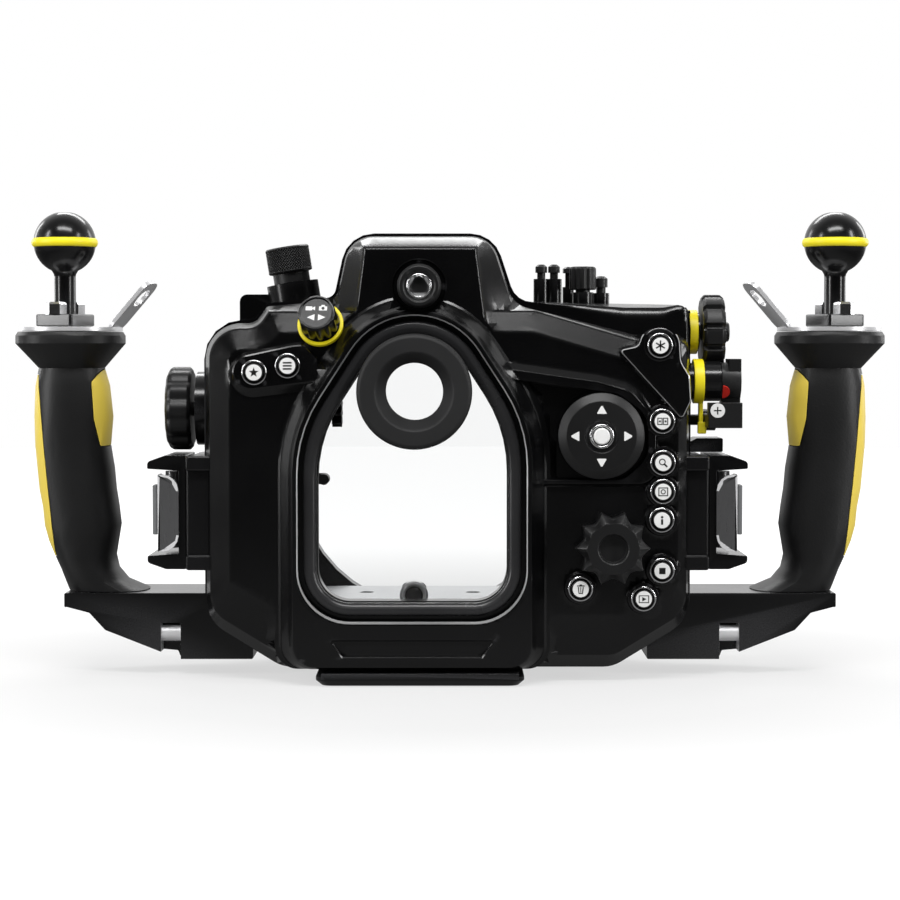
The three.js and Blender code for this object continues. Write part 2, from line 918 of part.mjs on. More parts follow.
function rightBores() {
  const inner = shell.right - shell.wall - overrun;
  return [
    at(alongX(rod(mainDial.shaft + gap, inner, mainDial.bossEnd + overrun, coarse)), 0, mainDial.y, mainDial.z),
    at(alongX(rod(focusLever.pin + gap, inner, shell.right + overrun, coarse)), 0, focusLever.y, focusLever.z),
  ];
}

function leftBoss() {
  return at(
    alongX(rod(leftDial.boss, leftDial.bossEnd, shell.left + shell.wall + leftDial.bearing)),
    0,
    leftDial.y,
    leftDial.z,
  );
}

function leftBore() {
  const end = shell.left + shell.wall + leftDial.bearing + overrun;
  return at(alongX(rod(leftDial.shaft + gap, leftDial.bossEnd - overrun, end, coarse)), 0, leftDial.y, leftDial.z);
}

function hiddenBump() {
  const corners = rectangle(
    hiddenBoss.left,
    hiddenBoss.right,
    shell.cheek - shell.wall / 2,
    hiddenBoss.top,
    hiddenBoss.radius / 2,
  );
  return slab(corners, hiddenBoss.rear, hiddenBoss.front);
}

function trayRails() {
  return [tray.left, tray.right - rail.width].map((left) =>
    box(left, left + rail.width, rail.rear, rail.front, shell.bottom + shell.wall / 2, tray.top - tray.thick - gap),
  );
}

function sealGroove() {
  const full = seamCorners();
  const outer = inset(full, seal.inset - groove.width / 2);
  const inner = inset(full, seal.inset + groove.width / 2);
  const floor = shell.rear + groove.depth;
  return cut(slab(outer, shell.rear - overrun, floor), slab(inner, shell.rear - 2 * overrun, floor + overrun));
}

function frontShell() {
  const whole = join(
    shellBody(),
    sideBoss(-1),
    sideBoss(1),
    ...topBosses(),
    ...rightBosses(),
    leftBoss(),
    hiddenBump(),
    modeFlange(),
    ...trayRails(),
  );
  const portHole = at(rod(port.bore, shell.front - shell.wall - overrun, shell.front + overrun, smooth), port.x, 0, port.z);
  const releaseBore = at(
    rod(lensRelease.stem + gap, shell.front - shell.wall - overrun, shell.front + overrun, coarse),
    lensRelease.x,
    0,
    lensRelease.z,
  );
  return cut(whole, portHole, releaseBore, modeBore(), leftBore(), ...topBores(), ...rightBores(), sealGroove());
}

function doorSeal() {
  const full = seamCorners();
  const outer = inset(full, seal.inset - seal.width / 2);
  const inner = inset(full, seal.inset + seal.width / 2);
  const rear = shell.rear;
  const floor = rear + seal.depth;
  return cut(slab(outer, rear, floor), slab(inner, rear - overrun, floor + overrun));
}

function portRing() {
  const rear = shell.front + gap;
  const front = rear + port.ring;
  const body = turned(
    [
      [port.bore, rear],
      [port.outer, rear],
      [port.outer, front - port.lipWall],
      [port.outer - port.lipWall, front],
      [port.bore + port.lip, front],
      [port.bore + port.lip, front - port.lip],
      [port.bore, front - port.lip],
    ],
    smooth,
  );
  return at(body, port.x, 0, port.z);
}

// Rear door

function doorHump() {
  const full = inset(humpCorners(), door.inset);
  return loft([
    [door.front, full],
    [door.rimEnd, full],
    [door.panel, inset(full, door.humpFaceInset)],
  ]);
}

function doorBody() {
  const low = door.bottomRim - door.rimWidth;
  return loft([
    [door.front, inset(doorCorners(), door.inset)],
    [door.rimEnd, inset(doorCorners(), door.inset)],
    [door.rimMiddle, inset(doorCorners(low / 3), door.inset + door.rimWidth / 4)],
    [door.panel, inset(doorCorners(low), door.inset + door.rimWidth)],
  ]);
}

function windowBlock() {
  return loft([
    [door.rimEnd, windowCorners(block.base, block.bottom)],
    [door.panel, windowCorners(block.base, block.bottom)],
    [block.shoulder, windowCorners(block.flank, block.bottom)],
    [block.rear, windowCorners(block.ridge, block.bottom)],
  ]);
}

function buttonBoss({ x, z }) {
  const { boss, bossRear, collar, collarRear, edge } = button;
  const profile = [
    [0, door.ceiling],
    [boss, door.ceiling],
    [boss, bossRear + edge],
    [boss - edge, bossRear],
    [collar, bossRear],
    [collar, collarRear],
    [0, collarRear],
  ];
  return at(turned(profile, coarse), x, 0, z);
}

function buttonCuts({ x, z }) {
  const { well, collarRear, wellFloor, stem, pocket } = button;
  return [
    at(rod(well, collarRear - overrun, wellFloor, coarse), x, 0, z),
    at(rod(stem + gap, wellFloor - overrun, door.ceiling + overrun, coarse), x, 0, z),
    at(rod(pocket, door.ceiling, door.front + overrun, coarse), x, 0, z),
  ];
}

function plateauBody() {
  const { rating_button: first, menu_button: second } = buttons;
  const left = first.x - plateau.reach;
  const right = second.x + plateau.end;
  const corners = [
    [left, first.z - plateau.reach, plateau.radius],
    [right, second.z - plateau.reach, plateau.radius / 2],
    [right, second.z + plateau.reach, plateau.radius / 2],
    [left, first.z + plateau.reach, plateau.radius],
  ];
  return loft([
    [plateau.foot, inset(corners, -plateau.flank)],
    [door.panel, inset(corners, -plateau.flank)],
    [plateau.rear, corners],
  ]);
}

function viewBoss() {
  return aimed(rod(viewKnob.boss, -viewKnob.bossLength, 0), viewKnob.aim, viewKnob);
}

function viewRing() {
  return aimed(rod(viewKnob.ring, -viewKnob.ringThick, 0, medium), viewKnob.aim, viewKnob);
}

function viewClearance() {
  return aimed(rod(viewKnob.ring + gap, 0, 2 * viewKnob.length, medium), viewKnob.aim, viewKnob);
}

function viewBore() {
  return aimed(rod(viewKnob.stem + gap, -viewKnob.stemLength - gap, overrun, coarse), viewKnob.aim, viewKnob);
}

function dialBoss() {
  return at(rod(rearDial.boss, door.ceiling, rearDial.bossRear), rearDial.x, 0, rearDial.z);
}

// The gimbal's post rocks in this bore.
function gimbalBore() {
  const { post, sway } = gimbal;
  return at(rod(post + sway, pad.floor - overrun, door.ceiling + overrun, coarse), pad.x, 0, pad.z);
}

function dialBore() {
  return at(
    rod(rearDial.shaft + gap, rearDial.bossRear - overrun, door.front + overrun, coarse),
    rearDial.x,
    0,
    rearDial.z,
  );
}

function padRecess() {
  const corners = [
    [recess.left, recess.bottom, recess.radius],
    [recess.right, recess.bottom, recess.radius],
    [recess.right, recess.topRight, recess.radius],
    [pad.x, recess.top, recess.radius],
    [recess.left, recess.top, recess.radius],
  ];
  const round = at(rod(pad.radius + pad.collarProud, block.rear, pad.floor), pad.x, 0, pad.z);
  return [slab(corners, block.rear, pad.floor), round];
}

function doorEars() {
  const ear = (side) => {
    const inner = centre + side * doorEar.inner;
    const outer = centre + side * (latch.seam - gap);
    const left = Math.min(inner, outer);
    const right = Math.max(inner, outer);
    const whole = slab(rectangle(left, right, latch.bottom, latch.top, latch.tipThick), doorEar.rear, door.front);
    const low = latch.bottom + doorEar.rib;
    const high = latch.top - doorEar.rib;
    const web = doorEar.rear + doorEar.web;
    return cut(whole, box(left - overrun, right + overrun, doorEar.rear - overrun, web, low, high));
  };
  return [ear(-1), ear(1)];
}

function doorCavity() {
  const main = inset(doorCorners(), door.inset + door.wall);
  const hump = inset(humpCorners(pad.z), door.inset + door.wall);
  return [slab(main, door.ceiling, door.front + overrun), slab(hump, door.ceiling, door.front + 2 * overrun)];
}

function windowSeats() {
  const opening = slab(windowCorners(0), block.rear - overrun, door.front);
  const glassSeat = slab(windowCorners(pane.seat + gap), pane.rear - gap, pane.rear + pane.thick + gap);
  const bezelSeat = slab(windowCorners(block.groove), block.rear - overrun, pane.rear);
  return [opening, glassSeat, bezelSeat];
}

function strip() {
  const middle = (pane.left + pane.right) / 2;
  const corners = rectangle(
    middle - block.stripRun,
    middle + block.stripRun,
    block.stripBottom - block.stripRise,
    block.stripBottom,
    block.stripRise / 3,
  );
  return slab(corners, block.rear - overrun, block.rear + block.stripDepth, 2);
}

function plugSeat() {
  const bore = rod(plug.shank + gap, door.panel - overrun, door.ceiling + overrun, medium);
  const face = rod(plug.radius + gap, block.rear, door.panel, medium);
  return [at(bore, plug.x, 0, plug.z), at(face, plug.x, 0, plug.z)];
}

function rearDoor() {
  const places = Object.values(buttons);
  const body = join(
    doorBody(),
    slab(inset(seamCorners(), door.inset), door.front, door.rimEnd),
    doorHump(),
    windowBlock(),
    plateauBody(),
    viewBoss(),
    ...doorEars(),
  );
  const recessed = cut(body, ...padRecess(), ...doorCavity(), viewClearance());
  const raised = join(recessed, ...places.map(buttonBoss), viewRing(), dialBoss());
  const clipped = cut(raised, box(shell.left, shell.right, door.front, shell.front, shell.bottom, shell.top));
  return cut(
    clipped,
    ...places.flatMap(buttonCuts),
    ...windowSeats(),
    strip(),
    viewBore(),
    dialBore(),
    ...plugSeat(),
    gimbalBore(),
  );
}

function windowPane() {
  const sheet = slab(windowCorners(pane.seat), pane.rear, pane.rear + pane.thick);
  return cut(sheet, at(rod(cup.tube + gap, pane.rear - overrun, pane.rear + pane.thick + overrun), eye.x, 0, eye.z));
}

function windowBezel() {
  const front = pane.rear - gap;
  const outer = slab(windowCorners(bezel.outer), bezel.rear, front);
  const opening = loft([
    [bezel.rear - overrun, windowCorners(bezel.edge)],
    [bezel.rear, windowCorners(bezel.edge)],
    [front, windowCorners(bezel.inner)],
    [front + overrun, windowCorners(bezel.inner)],
  ]);
  return cut(outer, opening);
}

function eyepieceCup() {
  const shoulder = pane.rear - gap;
  const glassEnd = cup.tubeFront;
  const glassSeat = glassEnd - eyeGlass.thick - 2 * gap;
  const profile = [
    [cup.bore, cup.rear + cup.dishDepth],
    [cup.dish, cup.rear + cup.dishDepth],
    [cup.dish, cup.rear],
    [cup.radius - cup.lip, cup.rear],
    [cup.radius, cup.rear + cup.lip],
    [cup.radius, shoulder],
    [cup.tube, shoulder],
    [cup.tube, glassEnd],
    [eyeGlass.radius + gap, glassEnd],
    [eyeGlass.radius + gap, glassSeat],
    [cup.bore, glassSeat],
  ];
  return at(turned(profile, smooth), eye.x, 0, eye.z);
}

function eyepieceGlass() {
  const rear = cup.tubeFront - eyeGlass.thick - gap;
  return at(rod(eyeGlass.radius, rear, rear + eyeGlass.thick, medium), eye.x, 0, eye.z);
}

function accessoryPlug() {
  const rear = door.panel - gap - plug.head;
  const head = turned([
    [0, rear],
    [plug.radius - plug.edge, rear],
    [plug.radius, rear + plug.edge],
    [plug.radius, door.panel - gap],
    [plug.shank, door.panel - gap],
    [plug.shank, door.panel + plug.shankLength],
    [0, door.panel + plug.shankLength],
  ]);
  const socket = rod(plug.socket, rear - overrun, rear + plug.head, 6);
  return at(cut(head, socket), plug.x, 0, plug.z);
}

// A push button: a cap in the collar, a stem through the door and a tip inside. Its origin is the cap's face.
function pushButton() {
  const { cap, capDepth, stem, tip, tipDepth, edge, collarRear, proud } = button;
  const face = collarRear - proud;
  const stemEnd = door.ceiling - face + gap;
  return turned(
    [
      [0, 0],
      [cap - edge, 0],
      [cap, edge],
      [cap, capDepth],
      [stem, capDepth],
      [stem, stemEnd],
      [tip, stemEnd],
      [tip, stemEnd + tipDepth],
      [0, stemEnd + tipDepth],
    ],
    coarse,
  );
}

function padPlate() {
  const body = turned([
    [pad.hole, -pad.collarProud],
    [pad.collar, -pad.collarProud],
    [pad.collar, 0],
    [pad.radius - pad.rimWidth, 0],
    [pad.radius, pad.rimDepth],
    [pad.radius, pad.thick],
    [pad.hole, pad.thick],
  ], 32);
  return body;
}

function padButtonBody() {
  const { cap, depth, tail, tailLength, edge } = padButton;
  return turned(
    [[0, 0], [cap - edge, 0], [cap, edge], [cap, depth], [tail, depth], [tail, depth + tailLength], [0, depth + tailLength]],
    coarse,
  );
}

function gimbalRing() {
  const rear = pad.rear + pad.thick + gimbal.space;
  const front = rear + gimbal.thick;
  const profile = [
    [gimbal.inner, rear],
    [gimbal.outer, rear],
    [gimbal.outer, front],
    [gimbal.post, front],
    [gimbal.post, door.ceiling],
    [0, door.ceiling],
    [0, front - gimbal.thick / 3],
    [gimbal.inner, front - gimbal.thick / 3],
  ];
  return turned(profile, coarse);
}

function rearDialBody() {
  const { radius, valley, points, depth, chamfer, hub, hubDepth, shaft, shaftEnd, rear } = rearDial;
  const wheel = lobed(radius, valley, points, 0, depth, chamfer, 2);
  const dish = rod(hub, -overrun, hubDepth, coarse);
  const stem = rod(shaft, depth / 2, shaftEnd - rear, coarse);
  return join(cut(wheel, dish), stem);
}

function viewKnobBody() {
  const { radius, valley, lobes, length, face, faceChamfer, stem, stemLength } = viewKnob;
  const grip = lobed(radius, valley, lobes, gap, length - faceChamfer);
  const top = chamferedRod(face, -length, -length + 2 * faceChamfer, faceChamfer / 2).rotateZ(Math.PI);
  const shaft = rod(stem, -stemLength, faceChamfer, coarse);
  return join(grip, top, shaft);
}

// Controls on the front shell

function modeKnobBody() {
  const { radius, height, edge, neck, neckLength, stem, stemLength } = modeKnob;
  return turned([
    [0, -stemLength],
    [stem, -stemLength],
    [stem, 0],
    [neck, 0],
    [neck, neckLength],
    [radius, neckLength],
    [radius, neckLength + height - edge],
    [radius - edge, neckLength + height],
    [0, neckLength + height],
  ]);
}

function leftDialBody() {
  const { radius, valley, lobes, outer, width, chamfer, shaft } = leftDial;
  const wheel = alongX(lobed(radius, valley, lobes, 0, width, chamfer));
  const stem = alongX(rod(shaft, width / 2, zoomGear.end - zoomGear.width - outer, coarse));
  const end = alongX(rod(zoomGear.bore, zoomGear.end - zoomGear.width - outer - overrun, zoomGear.end - outer, coarse));
  return join(wheel, stem, end);
}

// The toothed wheel on the inner end of the left dial's shaft: its teeth are slim radial pegs.
function zoomGearBody() {
  const { width, hub, bore, teeth, toothReach, toothThick } = zoomGear;
  const drum = alongX(ring(hub, bore + gap, 0, width, coarse));
  const tooth = (i) => {
    const root = (bore + gap + hub) / 2;
    const peg = box(width / 4, width, -toothThick / 2, toothThick / 2, root, toothReach);
    return peg.rotateX((2 * Math.PI * i) / teeth);
  };
  return join(drum, ...Array.from({ length: teeth }, (unused, i) => tooth(i)));
}

function mainDialBody() {
  const { width, radius, valley, teeth, edge, hub, hubOut, shaft, shaftEnd, inner } = mainDial;
  const wheel = alongX(lobed(radius, valley, teeth, 0, width, edge, 0.6)).rotateZ(Math.PI).translate(width, 0, 0);
  const cap = alongX(rod(hub, width / 2, width + hubOut, coarse));
  const stem = alongX(rod(shaft, shaftEnd - inner, width / 2, coarse));
  return join(wheel, cap, stem);
}

function yellowRing(place, tail) {
  const { ring: radius, ringInner, ringOuter } = place;
  const hoop = alongX(ring(radius, place.bossHole, ringInner, ringOuter, medium));
  return tail ? join(hoop, tail) : hoop;
}

function leverRing() {
  const { core, ring: radius, tailWidth, tailBottom, tailInner, ringOuter, z } = leverHub;
  const tail = box(tailInner, ringOuter, -tailWidth / 2, tailWidth / 2, tailBottom - z, -core - gap);
  return yellowRing({ ...leverHub, bossHole: core + gap, ring: radius }, tail);
}

function recordLeverBody() {
  const { outer, bore, barrel, padTop, padStart, padWidth, foot } = recordLever;
  const inner = leverHub.outer + gap;
  const width = outer - inner;
  const drum = alongX(rod(barrel, 0, width, coarse));
  const half = padWidth / 2;
  const upper = box(padStart - inner, width, -half, half, 0, padTop);
  const lower = box(0, width, -half / 2, half / 2, foot, 0);
  const hole = alongX(rod(bore, -overrun, leverHub.pinEnd - inner + gap, coarse));
  return cut(join(drum, upper, lower), hole);
}

// The focus lever: an arm from its pivot to a paddle behind the record lever. Its origin is on the pivot.
function focusLeverBody() {
  const { y, z, inner, neck, outer, pin, pinEnd, barrel } = focusLever;
  const { bottom, armTop, paddleTop, paddleRear, paddleFront } = focusLever;
  const drum = alongX(rod(barrel, 0, neck - inner, coarse));
  const arm = box(0, outer - inner, paddleRear - y, 0, bottom - z, armTop - z);
  const paddle = box(0, outer - inner, paddleRear - y, paddleFront - y, bottom - z, paddleTop - z);
  const axle = alongX(rod(pin, pinEnd - inner, neck - inner, coarse));
  return join(drum, arm, paddle, axle);
}

// A push button that moves down in a sleeve. Its origin is the top of its head.
function topButton({ stem, head, headHeight, dome, tail }) {
  const body = turned(
    [
      [0, 0],
      [head / 2, 0],
      [head, -dome],
      [head, -headHeight],
      [stem, -headHeight],
      [stem, -headHeight - tail],
      [0, -headHeight - tail],
    ],
    coarse,
  );
  return alongZ(body);
}

function topDialBody() {
  const { radius, valley, ribs, bottom, top, neck, stemEnd } = topDial;
  const wheel = alongZ(lobed(radius, valley, ribs, 0, top - bottom));
  const stem = alongZ(rod(neck, stemEnd - bottom, (top - bottom) / 2, coarse));
  return join(wheel, stem);
}

function lensReleaseRod() {
  const { button: radius, buttonDepth, stem, armRear, armThick, armHeight, pinX, pin, pinRear, travel, x } = lensRelease;
  const front = shell.front + gap + travel;
  const head = rod(radius, front, front + buttonDepth, coarse);
  const shaft = rod(stem, armRear, front + buttonDepth / 2, coarse);
  const arm = box(-stem, pinX - x, armRear, armRear + armThick, -armHeight / 2, armHeight / 2);
  const tip = at(rod(pin, pinRear, armRear + armThick, coarse), pinX - x, 0, 0);
  return join(head, shaft, arm, tip);
}

// Foot, tray and knob

function footBody() {
  const { left, right, rear, front, step, lip, bevel, radius } = foot;
  const top = shell.bottom - gap;
  const low = (bottom) => rectangle(left + bottom, right - bottom, rear + bottom, front - bottom, radius);
  const level = (z, shrink) => rounded(low(shrink)).map((p) => new THREE.Vector3(p.x, p.y, z));
  const slabBody = loftRings([level(0, bevel), level(bevel, 0), level(top, 0)]);
  const ledge = box(left + bevel, right - bevel, rear, step, top - bevel / 2, lip);
  return join(slabBody, ledge);
}

function cameraTray() {
  const { left, right, rear, front, top, thick, radius, hole, slotRun } = tray;
  const flat = (z) => rounded(rectangle(left, right, rear, front, radius)).map((p) => new THREE.Vector3(p.x, p.y, z));
  const plate = loftRings([flat(top - thick), flat(top)]);
  const lug = slab(
    rectangle(
      trayKnob.x - trayKnob.lug,
      trayKnob.x + trayKnob.lug,
      top - thick,
      trayKnob.z + trayKnob.lug,
      trayKnob.lug / 2,
    ),
    rear,
    rear + thick,
  );
  const middle = (left + right) / 2;
  const holes = [-1, 0, 1].map((side) =>
    at(alongZ(rod(hole, top - thick - overrun, top + overrun, coarse)), middle + side * slotRun, (rear + front) / 2, 0),
  );
  const screwHole = at(rod(trayKnob.screw + gap, rear - overrun, rear + thick + overrun, coarse), trayKnob.x, 0, trayKnob.z);
  return cut(join(plate, lug), ...holes, screwHole);
}

function trayKnobBody() {
  const { radius, rim, depth, dish, screw, screwLength } = trayKnob;
  return turned([
    [0, 0],
    [rim / 2, 0],
    [rim / 2, dish],
    [rim, dish],
    [rim, 0],
    [radius, 0],
    [radius, depth],
    [screw, depth],
    [screw, depth + screwLength],
    [0, depth + screwLength],
  ]);
}

// Latches, made for the right side and mirrored for the left

function latchBlock() {
  const { seam, bottom, top, rear, front, spine, ear, earFlat, tip, tipThick, tipDrop } = latch;
  const flat = seam + earFlat;
  const corners = [
    [seam, bottom, leastRadius],
    [flat, bottom, tipThick],
    [tip, bottom + tipDrop, tipThick / 2],
    [tip, bottom + tipDrop + tipThick, leastRadius],
    [seam + spine, bottom + ear, leastRadius],
    [seam + spine, top - ear, leastRadius],
    [tip, top - tipDrop - tipThick, leastRadius],
    [tip, top - tipDrop, tipThick / 2],
    [flat, top, tipThick],
    [seam, top, leastRadius],
  ];
  return slab(corners, rear, front, 2);
}

function latchLever() {
  const { pivotX, pivotY, barrel, armWidth, armHeight, bottom, top, ear, barrelGap } = latch;
  const { plateInner, plateOuter, plateHeight, plateRadius, plateRear, plateThick, lip, lipDepth } = latch;
  const low = bottom + ear + barrelGap;
  const high = top - ear - barrelGap;
  const drum = at(alongZ(rod(barrel, low - latchMiddle, high - latchMiddle, coarse)), 0, 0, 0);
  const armTop = armHeight / 2;
  const arm = box(-armWidth / 2, armWidth / 2, plateRear + plateThick / 2 - pivotY, 0, -armTop, armTop);
  const half = plateHeight / 2;
  const corners = [
    [plateInner - pivotX, -half, plateRadius],
    [plateOuter - pivotX, -half, leastRadius],
    [plateOuter - pivotX, half, leastRadius],
    [plateInner - pivotX, half, plateRadius],
  ];
  const plate = slab(corners, plateRear - pivotY, plateRear + plateThick - pivotY);
  const edge = box(
    plateOuter - lip - pivotX,
    plateOuter - pivotX,
    plateRear - pivotY,
    plateRear + lipDepth - pivotY,
    -half,
    half,
  );
  return join(drum, arm, plate, edge);
}

function latchTab() {
  const { thick, height, rear, depth } = tab;
  const inner = latch.plateOuter + gap - latch.pivotX;
  return box(inner, inner + thick, rear - latch.pivotY, rear + depth - latch.pivotY, -height / 2, height / 2);
}

// Handles, made for the right side and mirrored for the left

function bracketBody() {
  const { top, bottom, inner, outer, outerDrop, undersideShares, heel } = bracket;
  const reach = outer - heel;
  const height = top - bottom;
  const underside = undersideShares.map(([along, up]) => [heel + along * reach, bottom + up * height, leastRadius]);
  const corners = [
    [inner, bottom, leastRadius],
    [heel, bottom, leastRadius],
    ...underside.toReversed(),
    [outer, top - outerDrop, leastRadius],
    [outer, top, leastRadius],
    [inner, top, leastRadius],
  ];
  const rear = bracketMiddle - bracketWidth / 2;
  const front = bracketMiddle + bracketWidth / 2;
  return { corners, rear, front };
}

function bracketFor(side) {
  const { corners, rear, front } = bracketBody();
  const whole = slab(corners, rear, front, 1);
  const placed = side > 0 ? whole : mirrored(whole);
  const housing = slab(inset(shellCorners(), -gap), rear - overrun, front + overrun);
  const boltX = side > 0 ? bolt.inner : -bolt.outer;
  const pocketRear = rear - overrun;
  const pocket = box(
    boltX,
    boltX + bolt.outer - bolt.inner,
    pocketRear,
    rear + bolt.reach + bolt.pocket,
    bracket.bottom - overrun,
    bolt.z + bolt.pocket,
  );
  const head = at(alongX(rod(bolt.radius, 0, bolt.outer - bolt.inner + overrun, coarse)), 0, bolt.y + gap, bolt.z);
  const seated = side > 0 ? at(head, bolt.inner - overrun, 0, 0) : at(head, -bolt.outer, 0, 0);
  return join(cut(placed, housing, pocket), seated);
}

function mirrored(geometry) {
  const flipped = geometry.clone().scale(-1, 1, 1);
  const index = flipped.index ? flipped : mergeVertices(flipped);
  return facingOut(index);
}

function gripEnvelope() {
  const { axis, flange, foot: low, top, y, sides, squareness, sectionShares } = grip;
  const rings = sectionShares.map(([up, outer, inner, half]) => {
    const z = low + up * (top - low);
    const right = axis + outer * flange;
    const left = axis - inner * flange;
    const middle = (left + right) / 2;
    return Array.from({ length: sides }, (unused, i) => {
      const angle = (2 * Math.PI * i) / sides;
      const bulge = (value) => Math.sign(value) * Math.abs(value) ** squareness;
      const x = middle + ((right - left) / 2) * bulge(Math.cos(angle));
      return new THREE.Vector3(x, y + half * flange * bulge(Math.sin(angle)), z);
    });
  });
  return loftRings(rings);
}

function outerPadRegion(shift) {
  const { top, bottom, topX, bottomX } = outerPad;
  const far = grip.axis + grip.flange;
  const corners = [
    [bottomX - shift, bottom - shift, leastRadius],
    [far, bottom - shift, leastRadius],
    [far, top + shift, leastRadius],
    [topX - shift, top + shift, leastRadius],
  ];
  return slab(corners, grip.y - grip.flange, grip.y + grip.flange, 1);
}

function innerPadRegion(shift) {
  const { top, bottom, width, reach, edgeShares } = innerPad;
  const corners = [
    [reach - overrun, bottom - shift, leastRadius],
    ...edgeShares.toReversed().map(([across, up]) => [
      reach + across * width + shift,
      bottom + up * (top - bottom) + (up > 0.5 ? shift : -shift),
      leastRadius,
    ]),
    [reach - overrun, top + shift, leastRadius],
  ];
  return slab(corners, grip.y - grip.flange, grip.y + grip.flange, 1);
}

function gripBody() {
  return cut(gripEnvelope(), outerPadRegion(gap), innerPadRegion(gap));
}

function topPlateBody() {
  const { thick, radius, tabAngle, tabTurn, tabLength, tabWidth, tabRoot, eye: hole, eyeEnd } = topPlate;
  const disc = alongZ(rod(radius, 0, thick, medium));
  const flat = (z) =>
    rounded(rectangle(0, tabLength, -tabWidth / 2, tabWidth / 2, tabWidth / 3)).map((p) => new THREE.Vector3(p.x, p.y, z));
  const strap = loftRings([flat(0), flat(thick)]);
  const eyeHole = at(alongZ(rod(hole, -overrun, thick + overrun, coarse)), tabLength - eyeEnd, 0, 0);
  const lanyard = cut(strap, eyeHole).rotateY(-tabAngle).translate(tabRoot, 0, 0);
  const joined = join(disc, lanyard);
  return joined.rotateZ(Math.PI + tabTurn);
}

function ballMountBody() {
  const { base, baseHeight, turn, stem, ball, ballAxis, neckAngle, ballSteps, neckDrop } = ballMount;
  const { screwOffset, screwAngle, screw, screwHeight } = ballMount;
  const bottom = grip.top + topPlate.thick + 2 * gap;
  const height = ballAxis - bottom;
  const half = base / 2;
  const foot = box(-half, half, -half, half, 0, baseHeight).rotateZ(turn);
  const arc = Array.from({ length: ballSteps }, (unused, i) => {
    const angle = THREE.MathUtils.lerp(-neckAngle, Math.PI / 2, i / ballSteps);
    return [ball * Math.cos(angle), height + ball * Math.sin(angle)];
  });
  const column = turned(
    [[0, 0], [stem, 0], [stem, height - neckDrop], ...arc, [0, height + ball]],
    medium,
  );
  const bolts = [screwAngle, screwAngle + Math.PI].map((angle) => {
    const head = alongZ(rod(screw, baseHeight - gap, baseHeight + screwHeight, 6));
    return at(head, screwOffset * Math.cos(angle), screwOffset * Math.sin(angle), 0);
  });
  const bed = new THREE.TorusGeometry(ballRing.middle, ballRing.bed, ballRing.sides, medium).translate(0, 0, height);
  return cut(join(foot, alongZ(column), ...bolts), bed);
}

function ballRingBody() {
  return new THREE.TorusGeometry(ballRing.middle, ballRing.section, ballRing.sides, medium);
}

// Assembly

function buildHousing() {
  piece("front_shell", frontShell(), paints.black);
  piece("door_seal", doorSeal(), paints.rubber);
  piece("port_ring", portRing(), paints.grey);
  piece("base_foot", footBody(), paints.black);
  piece("camera_tray", cameraTray(), paints.silver);
  piece("tray_knob", trayKnobBody(), paints.silver).position.set(
    trayKnob.x,
    tray.rear - gap - trayKnob.depth,
    trayKnob.z,
  );
}

function buildDoor() {
  piece("rear_door", rearDoor(), paints.black);
  piece("window_pane", windowPane(), paints.glass);
  piece("window_bezel", windowBezel(), paints.grey);
  piece("eyepiece_cup", eyepieceCup(), paints.rubber);
  piece("eyepiece_glass", eyepieceGlass(), paints.glass);
  piece("accessory_plug", accessoryPlug(), paints.steel);
  Object.entries(buttons).forEach(([name, { x, z }]) => {
    piece(name, pushButton(), paints.white).position.set(x, button.collarRear - button.proud, z);
  });
  piece("four_way_gimbal", gimbalRing(), paints.steel).position.set(pad.x, 0, pad.z);
  piece("four_way_pad", padPlate(), paints.blackPlastic).position.set(pad.x, pad.rear, pad.z);
  piece("four_way_button", padButtonBody(), paints.white).position.set(pad.x, pad.rear - padButton.proud, pad.z);
  piece("rear_dial", rearDialBody(), paints.blackPlastic).position.set(rearDial.x, rearDial.rear, rearDial.z);
  const selector = piece("live_view_knob", viewKnobBody(), paints.blackPlastic);
  selector.position.set(viewKnob.x, viewKnob.y, viewKnob.z);
  selector.quaternion.setFromUnitVectors(new THREE.Vector3(0, 1, 0), viewKnob.aim);
}

function buildControls() {
  const mode = piece("mode_knob", modeKnobBody(), paints.black);
  mode.position.set(modeKnob.x, modeKnob.y, modeKnob.z);
  mode.quaternion.setFromUnitVectors(new THREE.Vector3(0, 1, 0), modeAxis());
  piece("left_dial", leftDialBody(), paints.black).position.set(leftDial.outer, leftDial.y, leftDial.z);
  piece("zoom_gear", zoomGearBody(), paints.rubber).position.set(
    zoomGear.end - zoomGear.width + gap,
    leftDial.y,
    leftDial.z,
  );
  piece("main_dial", mainDialBody(), paints.black).position.set(mainDial.inner, mainDial.y, mainDial.z);
  piece("main_dial_ring", yellowRing({ ...mainDial, bossHole: mainDial.boss + gap }), paints.yellow).position.set(
    0,
    mainDial.y,
    mainDial.z,
  );
  piece("lever_ring", leverRing(), paints.yellow).position.set(0, leverHub.y, leverHub.z);
  piece("record_lever", recordLeverBody(), paints.blackPlastic).position.set(leverHub.outer + gap, leverHub.y, leverHub.z);
  piece("focus_lever", focusLeverBody(), paints.blackPlastic).position.set(focusLever.inner, focusLever.y, focusLever.z);
  Object.entries(slimPlaces).forEach(([side, x]) => {
    piece(`slim_button_${side}`, topButton(slimButton), paints.black).position.set(x, slimButton.y, slimButton.headTop);
  });
  piece("top_dial", topDialBody(), paints.black).position.set(topDial.x, topDial.y, topDial.bottom);
  piece("wide_button", topButton(wideButton), paints.black).position.set(wideButton.x, wideButton.y, wideButton.headTop);
  piece("lens_release", lensReleaseRod(), paints.black).position.set(lensRelease.x, 0, lensRelease.z);
}

